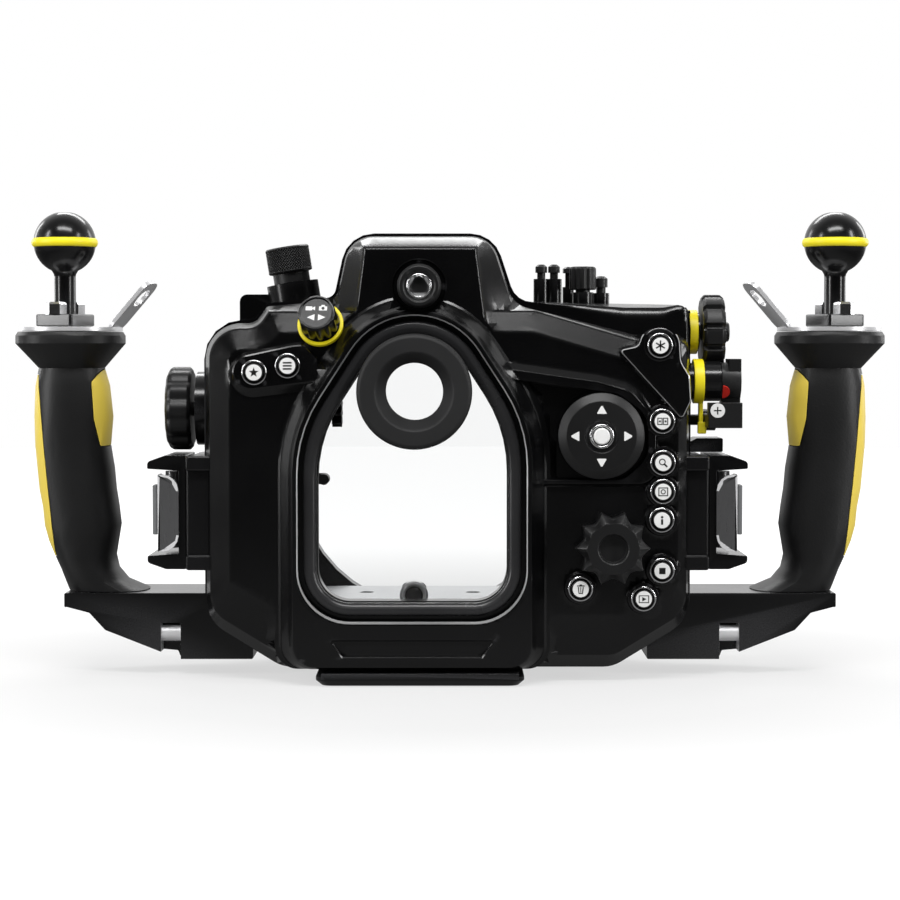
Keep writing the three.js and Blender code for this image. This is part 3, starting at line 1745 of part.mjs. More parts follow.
// One side's latch and handle, in a group that is mirrored for the left side.
function buildSide(name, side) {
  const latchSide = new THREE.Group();
  latchSide.position.x = centre;
  latchSide.scale.x = side;
  part.add(latchSide);
  piece(`latch_block_${name}`, latchBlock(), paints.black, latchSide);
  piece(`latch_lever_${name}`, latchLever(), paints.steel, latchSide).position.set(latch.pivotX, latch.pivotY, latchMiddle);
  piece(`latch_tab_${name}`, latchTab(), paints.grey, latchSide).position.set(
    latch.pivotX,
    latch.pivotY,
    latchMiddle + tab.rise,
  );
  piece(`bracket_${name}`, bracketFor(side), paints.blackPlastic);
  const handle = new THREE.Group();
  handle.scale.x = side;
  part.add(handle);
  piece(`grip_${name}`, gripBody(), paints.rubber, handle);
  piece(`outer_pad_${name}`, common(gripEnvelope(), outerPadRegion(0)), paints.yellow, handle);
  piece(`inner_pad_${name}`, common(gripEnvelope(), innerPadRegion(0)), paints.yellow, handle);
  const plateZ = grip.top + gap;
  piece(`top_plate_${name}`, topPlateBody(), paints.steel, handle).position.set(grip.axis, grip.y, plateZ);
  const mountZ = plateZ + topPlate.thick + gap;
  piece(`ball_mount_${name}`, ballMountBody(), paints.black, handle).position.set(ballMount.axis, grip.y, mountZ);
  piece(`ball_ring_${name}`, ballRingBody(), paints.yellow, handle).position.set(
    ballMount.axis,
    grip.y,
    ballMount.ballAxis,
  );
}

buildHousing();
buildDoor();
buildControls();
buildSide("left", -1);
buildSide("right", 1);

export default part;
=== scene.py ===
"""Looks of an underwater camera housing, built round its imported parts.

Lengths are in millimetres in the frame of the parts and become metres where a mesh is made. x runs to
the right as seen from behind, y forward to the port, z up. A height on the rear door is the distance
behind the plane y = 0.
"""

import json
import math

import bmesh
import bpy
import numpy as np
from mathutils import Matrix, Quaternion, Vector
from mathutils.geometry import delaunay_2d_cdt, tessellate_polygon

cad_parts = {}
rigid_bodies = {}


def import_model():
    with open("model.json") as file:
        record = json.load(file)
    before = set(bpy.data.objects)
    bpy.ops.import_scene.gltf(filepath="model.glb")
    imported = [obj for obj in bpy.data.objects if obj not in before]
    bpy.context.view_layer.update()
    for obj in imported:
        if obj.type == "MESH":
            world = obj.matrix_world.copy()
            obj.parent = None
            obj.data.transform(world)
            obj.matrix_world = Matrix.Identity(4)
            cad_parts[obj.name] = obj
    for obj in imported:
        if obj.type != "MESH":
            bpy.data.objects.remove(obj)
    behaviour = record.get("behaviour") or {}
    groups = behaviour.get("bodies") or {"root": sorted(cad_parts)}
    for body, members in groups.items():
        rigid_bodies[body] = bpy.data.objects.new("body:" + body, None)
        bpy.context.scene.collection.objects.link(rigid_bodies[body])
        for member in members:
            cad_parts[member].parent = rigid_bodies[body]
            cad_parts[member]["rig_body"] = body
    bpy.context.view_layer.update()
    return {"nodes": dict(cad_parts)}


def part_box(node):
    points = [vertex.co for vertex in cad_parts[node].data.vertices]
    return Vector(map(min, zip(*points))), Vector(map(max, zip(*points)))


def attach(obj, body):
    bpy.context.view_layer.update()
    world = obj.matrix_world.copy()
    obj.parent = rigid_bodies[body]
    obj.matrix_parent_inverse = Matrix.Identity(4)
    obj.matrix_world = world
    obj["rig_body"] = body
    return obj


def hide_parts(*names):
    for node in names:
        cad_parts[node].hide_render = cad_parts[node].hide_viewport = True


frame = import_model()

bl_info = {
    "name": "Underwater Camera Housing",
    "version": (1, 0, 0),
    "blender": (4, 5, 0),
    "location": "3D View > Sidebar > Housing",
    "description": "Builds the visible pieces of an underwater camera housing and its studio",
    "category": "Object",
}

MM = 0.001
REAR = Vector((0, -1, 0))
UP = Vector((0, 0, 1))
RIGHT = Vector((1, 0, 0))
LEFT = Vector((-1, 0, 0))
FULL_TURN = 2 * math.pi
FINISH_PREFIX = "Housing "

# Sizes, most of them shared with the source of the parts.
SHELL = {
    "left": -98.7, "right": 96.7, "bottom": 4, "shoulder": 151, "top": 178.4, "skirt_run": 31,
    "skirt_rise": 19, "skirt_radius": 14, "corner": 16, "hump_left": -41, "hump_right": 17.5,
    "hump_radius": 13, "foot_left": -46.5, "foot_right": 26.5, "fillet": 9, "shelf": 152.9,
    "shelf_end": -73.5, "shelf_drop": 2.3, "shelf_radius": 4, "cheek": 144, "cheek_start": -78,
}
CENTRE = (SHELL["left"] + SHELL["right"]) / 2
SHELL_REAR = -18
SHOULDER = {
    "start": 34, "full": 70, "round": 7.5, "end": 85, "end_run": 7, "corner": 4, "low": 139.6, "step": 0.9,
}
DOOR = {
    "inset": 1.6, "front": 18.3, "rim": 27, "panel": 38, "block": 47, "ceiling": 29, "wall": 7,
    "shoulder": 139.5,
    "slope_end": 73, "slope_start": 34, "slope_radius": 8,
}
PANE = {
    "left": -52.1, "right": 22.5, "bottom": 32.9, "corner": 13, "knee": 55, "arch": 22,
    "tilt": math.radians(33), "rear": 41.3,
}
EYE = {"x": -13.8, "z": 115.7}
PLUG = {"x": -12.1, "z": 156.8, "radius": 8.7, "rear": 41.7, "seat": 38.3, "flange": 40.6, "end": 32}
BUTTONS = {
    "rating_button": (-76.7, 123), "menu_button": (-63.6, 125.6), "star_button": (82.2, 133.5),
    "compare_button": (83.2, 103.9), "zoom_button": (83.5, 87.6), "quick_button": (83.5, 76.3),
    "info_button": (83.1, 65.1), "set_button": (83.3, 45.2), "play_button": (76.1, 34.1),
    "erase_button": (51.3, 38),
}
BUTTON = {
    "cap": 3.6, "face": 43.2, "well": 3.9, "floor": 38.1, "boss": 6.2, "seat": 41, "collar": 5, "rim": 42.2,
    "collar_inner": 4.0, "collar_foot": 40.6, "stem": 1.5, "tip": 2.3, "end": 27.1, "tip_top": 28.7,
    "under": 40.2, "disc": 3.15,
}
PAD = {
    "x": 59.3, "z": 98.1, "radius": 17, "rear": 44.4, "under": 41, "hole": 3.8, "floor": 34, "arrow": 1.9,
    "arrow_middle": 10.2,
}
REAR_DIAL = {"x": 63.7, "z": 54.3, "radius": 14.8, "valley": 11.9, "points": 10, "rear": 50, "under": 41.6}
VIEW_KNOB = {
    "place": Vector((-50.9, -37.4, 141.9)), "aim": Vector((-0.09, -0.92, 0.39)).normalized(),
    "boss": 8.4, "ring": 9.1, "ring_thick": 1.4, "radius": 7.6, "valley": 6.7, "length": 11, "lobes": 12,
}
MODE_KNOB = {
    "place": Vector((-64.6, 3, 159.4)), "lean": math.radians(9), "radius": 9, "height": 10.6,
    "neck": 7.4, "neck_length": 4, "stem": 3.2, "stem_length": 18, "ridges": 24,
}
TRAY_KNOB = {
    "x": -14.5, "z": 33, "seat": 15.1, "radius": 5.7, "rim": 3.6, "depth": 3.4, "screw": 1.5,
    "screw_length": 4.8,
}
LEFT_DIAL = {"y": 4, "z": 107.8, "radius": 17, "valley": 15.8, "lobes": 12, "outer": -115.8, "width": 10.4}
MAIN_DIAL = {"y": 0.5, "z": 139.1, "inner": 102.5, "width": 9, "radius": 15.2, "tooth": 1.9, "teeth": 11}
TOP_DIAL = {
    "x": 55, "y": 13, "radius": 5.5, "valley": 4.9, "lobes": 12, "stem": 3, "end": 136, "low": 156.6,
    "high": 166.2,
}
LEVERS = {
    "foot": Vector((101.7, -12.8, 100.4)), "foot_side": 2.4, "foot_end": 1.7, "label": 2.9,
    "record": Vector((109.4, -12.6, 119.2)), "record_out": Vector((0, -0.833, -0.553)),
    "record_height": 7.6, "focus": Vector((106.4, -28, 107.7)),
}
BOLT = {"inner": 109.4, "outer": 117.4, "y": -8.8, "z": 16.6, "radius": 3.3}
MOUNT = {
    "axis": 158.3, "y": 6, "base": 17.6, "height": 5, "turn": math.radians(25), "stem": 4.4, "ball": 12.7,
    "middle": 175.8, "screw": 4.4, "offset": 6.6, "angle": math.radians(115), "ring": 12.1,
}
LATCH = {
    "bottom": 44.4, "top": 89.9, "seam": 104.2, "plate_inner": 106.9, "plate_rear": -30.4,
    "plate_border": 0.9, "plate_middle": 67.15, "plate_straight": 8.8,
}


class HousingColours(bpy.types.PropertyGroup):
    """Colours of the housing's finishes."""

    def colour(name, text, default):
        """A colour a user can change."""
        return bpy.props.FloatVectorProperty(
            name=name, description=text, default=default, subtype="COLOR", size=3, min=0, max=1
        )

    black: colour("Anodised black", "Colour of the anodised shell and door", (0.0022, 0.0022, 0.0024))
    plastic: colour("Plastic black", "Colour of the knobs, dials and grips", (0.0055, 0.0055, 0.0058))
    rubber: colour("Rubber", "Colour of the eyepiece cup", (0.0135, 0.0135, 0.014))
    yellow: colour("Yellow", "Colour of the rings", (0.95, 0.8, 0.008))
    pad_yellow: colour("Pad yellow", "Colour of the grip pads", (0.88, 0.67, 0.09))
    steel: colour("Steel", "Colour of the steel plates and latches", (0.62, 0.63, 0.64))
    latch: colour("Latch steel", "Colour of the latch levers' plates", (0.24, 0.24, 0.245))
    bezel: colour("Bezel", "Colour of the ring round the window", (0.02, 0.02, 0.021))
    silver: colour("Silver", "Colour of the button collars", (0.8, 0.8, 0.81))
    grey: colour("Grey", "Colour of the levers and safety tabs", (0.16, 0.165, 0.17))
    white: colour("White", "Colour of the button faces and signs", (0.8, 0.8, 0.79))
    red: colour("Red", "Colour of the record lever's label", (0.72, 0.03, 0.02))


class HousingSizes(bpy.types.PropertyGroup):
    """Sizes of the housing's fine detail."""

    edge: bpy.props.FloatProperty(
        name="Edge round", description="Width of the rounding on machined edges",
        default=0.00035, min=0.0001, max=0.001, unit="LENGTH", precision=5,
    )
    sign: bpy.props.FloatProperty(
        name="Sign size", description="Half the size of the signs on the push buttons",
        default=0.002, min=0.001, max=0.003, unit="LENGTH", precision=4,
    )
    knurl: bpy.props.FloatProperty(
        name="Knurl depth", description="Depth of the diamond knurl on the mode knob",
        default=0.00042, min=0.0001, max=0.0006, unit="LENGTH", precision=5,
    )
    grain: bpy.props.FloatProperty(
        name="Blast grain", description="Size of the bead-blasted grain under the anodising",
        default=0.0005, min=0.0001, max=0.002, unit="LENGTH", precision=5,
    )


class HousingStudio(bpy.types.PropertyGroup):
    """Camera and light of the studio."""

    distance: bpy.props.FloatProperty(
        name="Camera distance", description="Distance from the camera to the housing's middle",
        default=0.95, min=0.5, max=3, unit="LENGTH",
    )
    elevation: bpy.props.FloatProperty(
        name="Camera elevation", description="Angle by which the camera looks down",
        default=math.radians(2.5), min=0, max=1, subtype="ANGLE",
    )
    lens: bpy.props.FloatProperty(
        name="Lens", description="Focal length in millimetres", default=92.7, min=20, max=300,
    )
    light: bpy.props.FloatProperty(
        name="Light", description="Factor on the strength of all the softboxes", default=1, min=0.1, max=4,
    )


# Outlines: lists of corners (x, z, radius), counter-clockwise as seen from behind.

def inset(corners, distance):
    """Moves every edge of an outline inwards."""
    count = len(corners)
    edges = []
    for i, (x, z, _) in enumerate(corners):
        end = corners[(i + 1) % count]
        along = Vector((end[0] - x, end[1] - z)).normalized()
        inward = Vector((-along.y, along.x))
        edges.append((along, Vector((x, z)) + inward * distance))
    moved = []
    for i, (_, _, radius) in enumerate(corners):
        before, start = edges[i - 1]
        after, place = edges[i]
        turn = before.cross(after)
        run = (place - start).cross(after) / turn
        corner = start + before * run
        rounder = radius - distance if turn > 0 else radius + distance
        moved.append((corner.x, corner.y, max(rounder, 0.25)))
    return moved


def rounded(corners, step=math.radians(7), longest=4.0):
    """The points of an outline with its corners rounded."""
    count = len(corners)
    points = []
    for i, (x, z, radius) in enumerate(corners):
        here = Vector((x, z))
        back = (Vector(corners[i - 1][:2]) - here).normalized()
        ahead = (Vector(corners[(i + 1) % count][:2]) - here).normalized()
        half = math.acos(max(-1, min(1, back.dot(ahead)))) / 2
        hub = here + (back + ahead).normalized() * (radius / math.sin(half))
        start = here + back * (radius / math.tan(half)) - hub
        sweep = math.copysign(math.pi - 2 * half, ahead.cross(back))
        steps = max(2, math.ceil(abs(sweep) / step))
        for k in range(steps + 1):
            points.append(hub + Matrix.Rotation(sweep * k / steps, 2) @ start)
    return divided(points, longest)


def divided(points, longest):
    """Adds points on the long edges of a closed line."""
    line = []
    for i, point in enumerate(points):
        end = points[(i + 1) % len(points)]
        parts = max(1, math.ceil((end - point).length / longest))
        line.extend(point.lerp(end, k / parts) for k in range(parts))
    return line


def circle(x, z, radius, steps=48):
    """A circle's points in the rear view."""
    turns = [FULL_TURN * k / steps for k in range(steps)]
    return [Vector((x + radius * math.cos(a), z + radius * math.sin(a))) for a in turns]


def shell_corners(right_shoulder):
    """The housing's outline. The door's seam runs below the right shoulder."""
    s = SHELL
    if right_shoulder:
        shoulder = [(s["right"], s["shoulder"], 5)]
    else:
        shoulder = [(s["right"], DOOR["shoulder"], 8), (DOOR["slope_end"], DOOR["shoulder"], 8)]
    return [
        (s["left"] + s["skirt_run"], s["bottom"], s["skirt_radius"]),
        (s["right"] - s["skirt_run"], s["bottom"], s["skirt_radius"]),
        (s["right"], s["bottom"] + s["skirt_rise"], s["corner"]),
        *shoulder,
        (s["foot_right"], s["shoulder"], s["fillet"]),
        (s["hump_right"], s["top"], s["hump_radius"]),
        (s["hump_left"], s["top"], s["hump_radius"]),
        (s["foot_left"], s["shelf"], s["shelf_radius"]),
        (s["shelf_end"], s["shelf"] - s["shelf_drop"], s["shelf_radius"]),
        (s["cheek_start"], s["cheek"], s["shelf_radius"]),
        (s["left"], s["cheek"], s["corner"]),
        (s["left"], s["bottom"] + s["skirt_rise"], s["corner"]),
    ]


def door_corners(rise=0, widen=0):
    """The door's plate without its hump; rise lifts its lower edge and widen moves its right edge out."""
    s = SHELL
    right = s["right"] + widen
    return [
        (s["left"] + s["skirt_run"], s["bottom"] + rise, s["skirt_radius"]),
        (right - s["skirt_run"], s["bottom"] + rise, s["skirt_radius"]),
        (right, s["bottom"] + s["skirt_rise"] + rise, s["corner"]),
        (right, DOOR["shoulder"], DOOR["slope_radius"]),
        (DOOR["slope_end"], DOOR["shoulder"], DOOR["slope_radius"]),
        (DOOR["slope_start"], s["shoulder"], DOOR["slope_radius"]),
        (s["shelf_end"], s["shelf"] - s["shelf_drop"], s["shelf_radius"]),
        (s["cheek_start"], s["cheek"], s["shelf_radius"]),
        (s["left"], s["cheek"], s["corner"]),
        (s["left"], s["bottom"] + s["skirt_rise"] + rise, s["corner"]),
    ]


def hump_corners(bottom=140):
    """The hump with its slanting sides carried on down to a level below the shoulder."""
    s = SHELL
    left_share = (s["top"] - bottom) / (s["top"] - s["shelf"])
    right_share = (s["top"] - bottom) / (s["top"] - s["shoulder"])
    left = s["hump_left"] + (s["foot_left"] - s["hump_left"]) * left_share
    right = s["hump_right"] + (s["foot_right"] - s["hump_right"]) * right_share
    return [
        (left, bottom, 0.4),
        (right, bottom, 0.4),
        (s["hump_right"], s["top"], s["hump_radius"]),
        (s["hump_left"], s["top"], s["hump_radius"]),
    ]


def window_corners(spread, bottom=None):
    """The window's outline, spread outwards: upright sides, a knee on each side and an arch."""
    radius = PANE["arch"] + spread
    slope = math.tan(PANE["tilt"])
    apex = EYE["z"] + radius / math.sin(PANE["tilt"])
    left = PANE["left"] - spread
    right = PANE["right"] + spread
    low = PANE["bottom"] - spread if bottom is None else bottom
    return [
        (left, low, PANE["corner"] + spread),
        (right, low, PANE["corner"] + spread),
        (right, apex - abs(right - EYE["x"]) / slope, PANE["knee"]),
        (EYE["x"], apex, radius),
        (left, apex - abs(left - EYE["x"]) / slope, PANE["knee"]),
    ]


# Meshes in the making.

class Shape:
    """Points in millimetres, faces, and the finish of each face."""

    def __init__(self):
        self.points = []
        self.faces = []
        self.finishes = []

    def add(self, points, faces, finish=0):
        """Adds a body."""
        start = len(self.points)
        self.points.extend(tuple(p) for p in points)
        self.faces.extend(tuple(start + i for i in face) for face in faces)
        self.finishes.extend([finish] * len(faces))
        return self


def ring_faces(levels, count, closed):
    """Quads between rings of count points; a closed body joins its last ring to its first."""
    faces = []
    for level in range(levels if closed else levels - 1):
        low = level * count
        high = (level + 1) % levels * count
        for i in range(count):
            j = (i + 1) % count
            faces.append((low + i, low + j, high + j, high + i))
    return faces


def cap_faces(points, start, count):
    """Triangles that close a ring."""
    ring = [Vector(p) for p in points[start:start + count]]
    return [tuple(start + i for i in tri) for tri in tessellate_polygon([ring])]


def loft(shape, rings, finish=0, closed=False):
    """A body through rings of the same number of points, with both ends capped unless it is closed."""
    count = len(rings[0])
    points = [p for ring in rings for p in ring]
    faces = ring_faces(len(rings), count, closed)
    if not closed:
        faces += cap_faces(points, 0, count)
        faces += cap_faces(points, len(points) - count, count)
    return shape.add(points, faces, finish)


def at_height(line, height):
    """Lifts a line of the rear view to a height behind the plane y = 0."""
    return [(p.x, -height, p.y) for p in line]


def soften(profile, radius, steps=3, closed=False):
    """Rounds the corners of a profile."""
    count = len(profile)
    line = []
    for i, corner in enumerate(profile):
        here = Vector(corner)
        if not closed and i in (0, count - 1):
            line.append(here)
            continue
        back = Vector(profile[i - 1]) - here
        ahead = Vector(profile[(i + 1) % count]) - here
        reach = min(radius, 0.45 * back.length, 0.45 * ahead.length)
        if reach < 0.01:
            line.append(here)
            continue
        start = here + back.normalized() * reach
        end = here + ahead.normalized() * reach
        for k in range(steps + 1):
            t = k / steps
            line.append(start.lerp(here, t).lerp(here.lerp(end, t), t))
    return line


def aimed(points, place, direction, roll=0.0):
    """Turns points (across, across, along) so that along becomes a direction, and places them."""
    turn = Vector((0, 0, 1)).rotation_difference(direction) @ Quaternion((0, 0, 1), roll)
    return [place + turn @ Vector(p) for p in points]


def spin(shape, profile, place, direction, steps=64, finish=0, radius_at=None, roll=0.0):
    """A turned body from a profile of (radius, along); radius_at bends its rim."""
    on_axis = profile[0][0] < 0.001 and profile[-1][0] < 0.001
    rows = [p for p in profile if p[0] >= 0.001] if on_axis else profile
    points = []
    for radius, along in rows:
        for k in range(steps):
            turn = FULL_TURN * k / steps
            reach = radius_at(radius, along, turn) if radius_at else radius
            points.append((reach * math.cos(turn), reach * math.sin(turn), along))
    faces = ring_faces(len(rows), steps, not on_axis)
    if on_axis:
        first = len(points)
        points.append((0, 0, profile[0][1]))
        points.append((0, 0, profile[-1][1]))
        last = (len(rows) - 1) * steps
        for k in range(steps):
            j = (k + 1) % steps
            faces.append((first, k, j))
            faces.append((first + 1, last + j, last + k))
    return shape.add(aimed(points, place, direction, roll), faces, finish)


def lobes(count, radius, valley, sharp=1.0, phase=0.0):
    """A rim that swings between its radius at the lobes and its radius in the valleys."""
    def radius_at(reach, along, turn):
        swing = ((1 + math.cos(count * (turn + phase))) / 2) ** sharp
        return reach - (radius - valley) * (1 - swing) * min(1, reach / radius) ** 3
    return radius_at


def slab(shape, corners, low, high, place, direction, edge=0.3, finish=0, roll=0.0):
    """A flat body with rounded upright corners and rounded edges."""
    levels = [(low, edge), (low + 0.3 * edge, 0.3 * edge), (low + edge, 0),
              (high - edge, 0), (high - 0.3 * edge, 0.3 * edge), (high, edge)]
    rings = []
    for along, shrink in levels:
        line = rounded(inset(corners, shrink), math.radians(12), 1000)
        rings.append([(p.x, p.y, along) for p in line])
    most = min(len(r) for r in rings)
    rings = [r[:most] for r in rings]
    turned = [aimed(r, place, direction, roll) for r in rings]
    return loft(shape, turned, finish)


def prism(shape, outline, low, high, place, direction, finish=0, roll=0.0):
    """A thin flat sign cut from an outline."""
    rings = [[(p[0], p[1], along) for p in outline] for along in (low, high)]
    return loft(shape, [aimed(r, place, direction, roll) for r in rings], finish)


def mark_sharp(mesh, limit):
    """Splits the shading at edges sharper than the limit."""
    work = bmesh.new()
    work.from_mesh(mesh)
    bmesh.ops.recalc_face_normals(work, faces=work.faces)
    for face in work.faces:
        face.smooth = True
    for edge in work.edges:
        edge.smooth = len(edge.link_faces) == 2 and edge.calc_face_angle(0) < limit
    work.to_mesh(mesh)
    work.free()


def show(name, mesh, finishes, nodes, body=None, sharp=math.radians(38)):
    """Makes a piece of a mesh, gives it its finishes and lets it ride on the body of its nodes."""
    for finish in finishes:
        mesh.materials.append(finish_named(finish))
    mark_sharp(mesh, sharp)
    made = bpy.data.objects.new(name, mesh)
    bpy.context.scene.collection.objects.link(made)
    normals = made.modifiers.new("Even shading", "WEIGHTED_NORMAL")
    normals.keep_sharp = True
    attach(made, body or frame["nodes"][nodes[0]]["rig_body"])
    if nodes:
        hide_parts(*nodes)
    return made


def piece(name, shape, finishes, nodes, body=None, sharp=math.radians(38)):
    """Makes a piece of a shape."""
    mesh = bpy.data.meshes.new(name)
    mesh.from_pydata([Vector(p) * MM for p in shape.points], [], shape.faces)
    mesh.polygons.foreach_set("material_index", shape.finishes)
    return show(name, mesh, finishes, nodes, body, sharp)


def eased(value, start, end):
    """A smooth step from 0 to 1 between two values."""
    share = max(0.0, min(1.0, (value - start) / (end - start)))
    return share * share * (3 - 2 * share)


def shoulder_round(x, z):
    """The rounding of the rear top edge of the right shoulder: a barrel that tapers to the left."""
    s = SHOULDER
    share = (x - s["start"]) / (s["full"] - s["start"])
    barrel = s["round"] * max(0.0, min(1.0, share))
    end = eased(x, s["end"], s["end"] + s["end_run"])
    corner = s["corner"] * max(0.0, min(1.0, (z - s["low"]) / s["corner"]))
    return barrel * (1 - end) + corner * end


def round_shoulder(work):
    """Turns the rear top edge of the shell's right shoulder into a barrel."""
    s = SHOULDER

    def region():
        faces = []
        for face in work.faces:
            middle = face.calc_center_median() / MM
            if middle.x > s["start"] - 4 and middle.z > s["low"] - 4 and middle.y < SHELL_REAR + 12:
                faces.append(face)
        edges = {edge for face in faces for edge in face.edges}
        points = {point for face in faces for point in face.verts}
        return [*faces, *edges, *points]

    cuts = [(UP, SHELL["shoulder"] - s["step"] * k) for k in range(1, 9)]
    cuts += [(-REAR, SHELL_REAR + s["step"] * k) for k in range(1, 9)]
    cuts += [(RIGHT, s["start"] + 2.6 * k) for k in range(1, 24)]
    for normal, level in cuts:
        middle = normal * level * MM
        bmesh.ops.bisect_plane(work, geom=region(), plane_co=middle, plane_no=normal, dist=1e-7)
    line = rounded(shell_corners(True), math.radians(4))

    def on_shoulder(vert):
        x, y, z = [value / MM for value in vert.co]
        return x > s["start"] and z > s["low"] and y < SHELL_REAR + 10

    moved = [v for v in work.verts if on_shoulder(v)]
    places = np.array([(v.co.x / MM, v.co.z / MM) for v in moved])
    inward = -signed_distance(places, line)
    probe = 0.05

    def slope(step):
        ahead = signed_distance(places + step, line)
        back = signed_distance(places - step, line)
        return -(ahead - back) / (2 * probe)

    slope_x = slope([probe, 0])
    slope_z = slope([0, probe])
    for vert, (x, z), deep, along_x, along_z in zip(moved, places, inward, slope_x, slope_z):
        radius = shoulder_round(x, z)
        behind = vert.co.y / MM - SHELL_REAR
        on_rear = abs(behind) < 0.03 and deep < radius
        on_wall = abs(deep) < 0.03 and behind < radius
        if radius < 0.05 or not (on_rear or on_wall):
            continue
        share = 1 - deep / radius if on_rear else 1 + behind / radius
        angle = math.pi / 4 * share
        push = radius * (1 - math.sin(angle)) - max(deep, 0)
        vert.co.x += push * along_x * MM
        vert.co.z += push * along_z * MM
        vert.co.y = (SHELL_REAR + radius * (1 - math.cos(angle))) * MM


def refined(node, finishes, edge=None, steps=2, name=None, choose=None, reshape=None):
    """A copy of a part's mesh with rounded edges; choose gives a face's finish from its middle."""
    mesh = frame["nodes"][node].data.copy()
    mesh.materials.clear()
    work = bmesh.new()
    work.from_mesh(mesh)
    bmesh.ops.remove_doubles(work, verts=work.verts, dist=2e-6)
    if reshape:
        reshape(work)
        bmesh.ops.triangulate(work, faces=work.faces)
    bmesh.ops.dissolve_limit(
        work, angle_limit=math.radians(0.8), verts=work.verts, edges=work.edges,
        delimit={"NORMAL", "MATERIAL"},
    )
    if choose:
        for face in work.faces:
            face.material_index = choose(face.calc_center_median() / MM)
    work.to_mesh(mesh)
    work.free()
    made = show(name or node + "_finished", mesh, finishes, [node])
    made.modifiers.clear()
    bevel = made.modifiers.new("Rounded edges", "BEVEL")
    bevel.width = edge or bpy.context.scene.housing_sizes.edge
    bevel.segments = steps
    bevel.limit_method = "ANGLE"
    bevel.angle_limit = math.radians(32)
    bevel.use_clamp_overlap = True
    bevel.harden_normals = False
    normals = made.modifiers.new("Even shading", "WEIGHTED_NORMAL")
    normals.keep_sharp = False
    return made


# Finishes

def finish_named(name):
    """A finish of this script, apart from the plain materials that the parts bring."""
    return bpy.data.materials[FINISH_PREFIX + name]


def node_of(tree, kind, **values):
    """A shader node with its inputs set."""
    made = tree.nodes.new(kind)
    for key, value in values.items():
        setattr(made, key, value)
    return made


def carried(tree, value, to_low, to_high, low=0.0, high=1.0):
    """A value carried from one range to another."""
    made = node_of(tree, "ShaderNodeMapRange")
    made.inputs["From Min"].default_value = low
    made.inputs["From Max"].default_value = high
    made.inputs["To Min"].default_value = to_low
    made.inputs["To Max"].default_value = to_high
    tree.links.new(value, made.inputs["Value"])
    return made.outputs["Result"]


def joined(tree, operation, first, second):
    """Two values joined by a sum of the given kind."""
    made = node_of(tree, "ShaderNodeMath", operation=operation)
    tree.links.new(first, made.inputs[0])
    tree.links.new(second, made.inputs[1])
    return made.outputs["Value"]


def texture_noise(tree, scale, detail, space):
    """A noise of a size laid over a space."""
    made = node_of(tree, "ShaderNodeTexNoise")
    made.inputs["Scale"].default_value = scale
    made.inputs["Detail"].default_value = detail
    tree.links.new(space, made.inputs["Vector"])
    return made.outputs["Fac"]


def finish(name, colour, roughness, metallic=0.0, grain=0.0005, depth=0.00002, strength=0.35,
           wear=0.0, wear_colour=(0.2, 0.2, 0.2), mottle=0.25, specular=0.5, stretch=(1, 1, 1),
           streak=0.0):
    """A finish with mottled colour, uneven gloss, a fine grain and worn edges."""
    material = bpy.data.materials.new(FINISH_PREFIX + name)
    material.use_nodes = True
    tree = material.node_tree
    shader = tree.nodes["Principled BSDF"]
    shader.inputs["Metallic"].default_value = metallic
    shader.inputs["Specular IOR Level"].default_value = specular
    place = node_of(tree, "ShaderNodeTexCoord")
    scaled = node_of(tree, "ShaderNodeMapping")
    scaled.inputs["Scale"].default_value = stretch
    tree.links.new(place.outputs["Object"], scaled.inputs["Vector"])
    broad = texture_noise(tree, 28, 4, place.outputs["Object"])
    fine = texture_noise(tree, 1 / grain, 2, scaled.outputs["Vector"])
    shades = node_of(tree, "ShaderNodeValToRGB")
    shades.color_ramp.elements[0].position = 0.3
    shades.color_ramp.elements[1].position = 0.7
    shades.color_ramp.elements[0].color = (*[c * (1 - mottle) for c in colour], 1)
    shades.color_ramp.elements[1].color = (*[min(1, c * (1 + mottle)) for c in colour], 1)
    tree.links.new(broad, shades.inputs["Fac"])
    paint = shades.outputs["Color"]
    if wear:
        paint = worn(tree, paint, wear, wear_colour, fine)
    tree.links.new(paint, shader.inputs["Base Color"])
    smoothest = max(0.02, roughness - 0.05 - streak)
    dullest = min(1, roughness + 0.05 + streak)
    gloss = carried(tree, fine if streak else broad, smoothest, dullest)
    tree.links.new(gloss, shader.inputs["Roughness"])
    bump = node_of(tree, "ShaderNodeBump")
    bump.inputs["Strength"].default_value = strength
    bump.inputs["Distance"].default_value = depth
    tree.links.new(fine, bump.inputs["Height"])
    tree.links.new(bump.outputs["Normal"], shader.inputs["Normal"])
    return material


def worn(tree, paint, amount, colour, fine):
    """Lightens a colour along sharp edges, in uneven patches."""
    shape = node_of(tree, "ShaderNodeNewGeometry")
    edges = carried(tree, shape.outputs["Pointiness"], 0, amount, 0.53, 0.62)
    patches = joined(tree, "MULTIPLY", edges, fine)
    mixed = node_of(tree, "ShaderNodeMix", data_type="RGBA")
    factor, first, second = [s for s in mixed.inputs if s.enabled]
    second.default_value = (*colour, 1)
    tree.links.new(patches, factor)
    tree.links.new(paint, first)
    return next(s for s in mixed.outputs if s.enabled)


def clear_finish(name):
    """Clear acrylic glass with a faint unevenness."""
    material = bpy.data.materials.new(FINISH_PREFIX + name)
    material.use_nodes = True
    tree = material.node_tree
    shader = tree.nodes["Principled BSDF"]
    shader.inputs["Base Color"].default_value = (0.994, 1, 1, 1)
    shader.inputs["Transmission Weight"].default_value = 1
    shader.inputs["IOR"].default_value = 1.49
    place = node_of(tree, "ShaderNodeTexCoord")
    noise = texture_noise(tree, 40, 2, place.outputs["Object"])
    tree.links.new(carried(tree, noise, 0, 0.03), shader.inputs["Roughness"])
    return material


# Relief of the rear door: raised and sunk forms, each a nest of rings with a height at every ring.

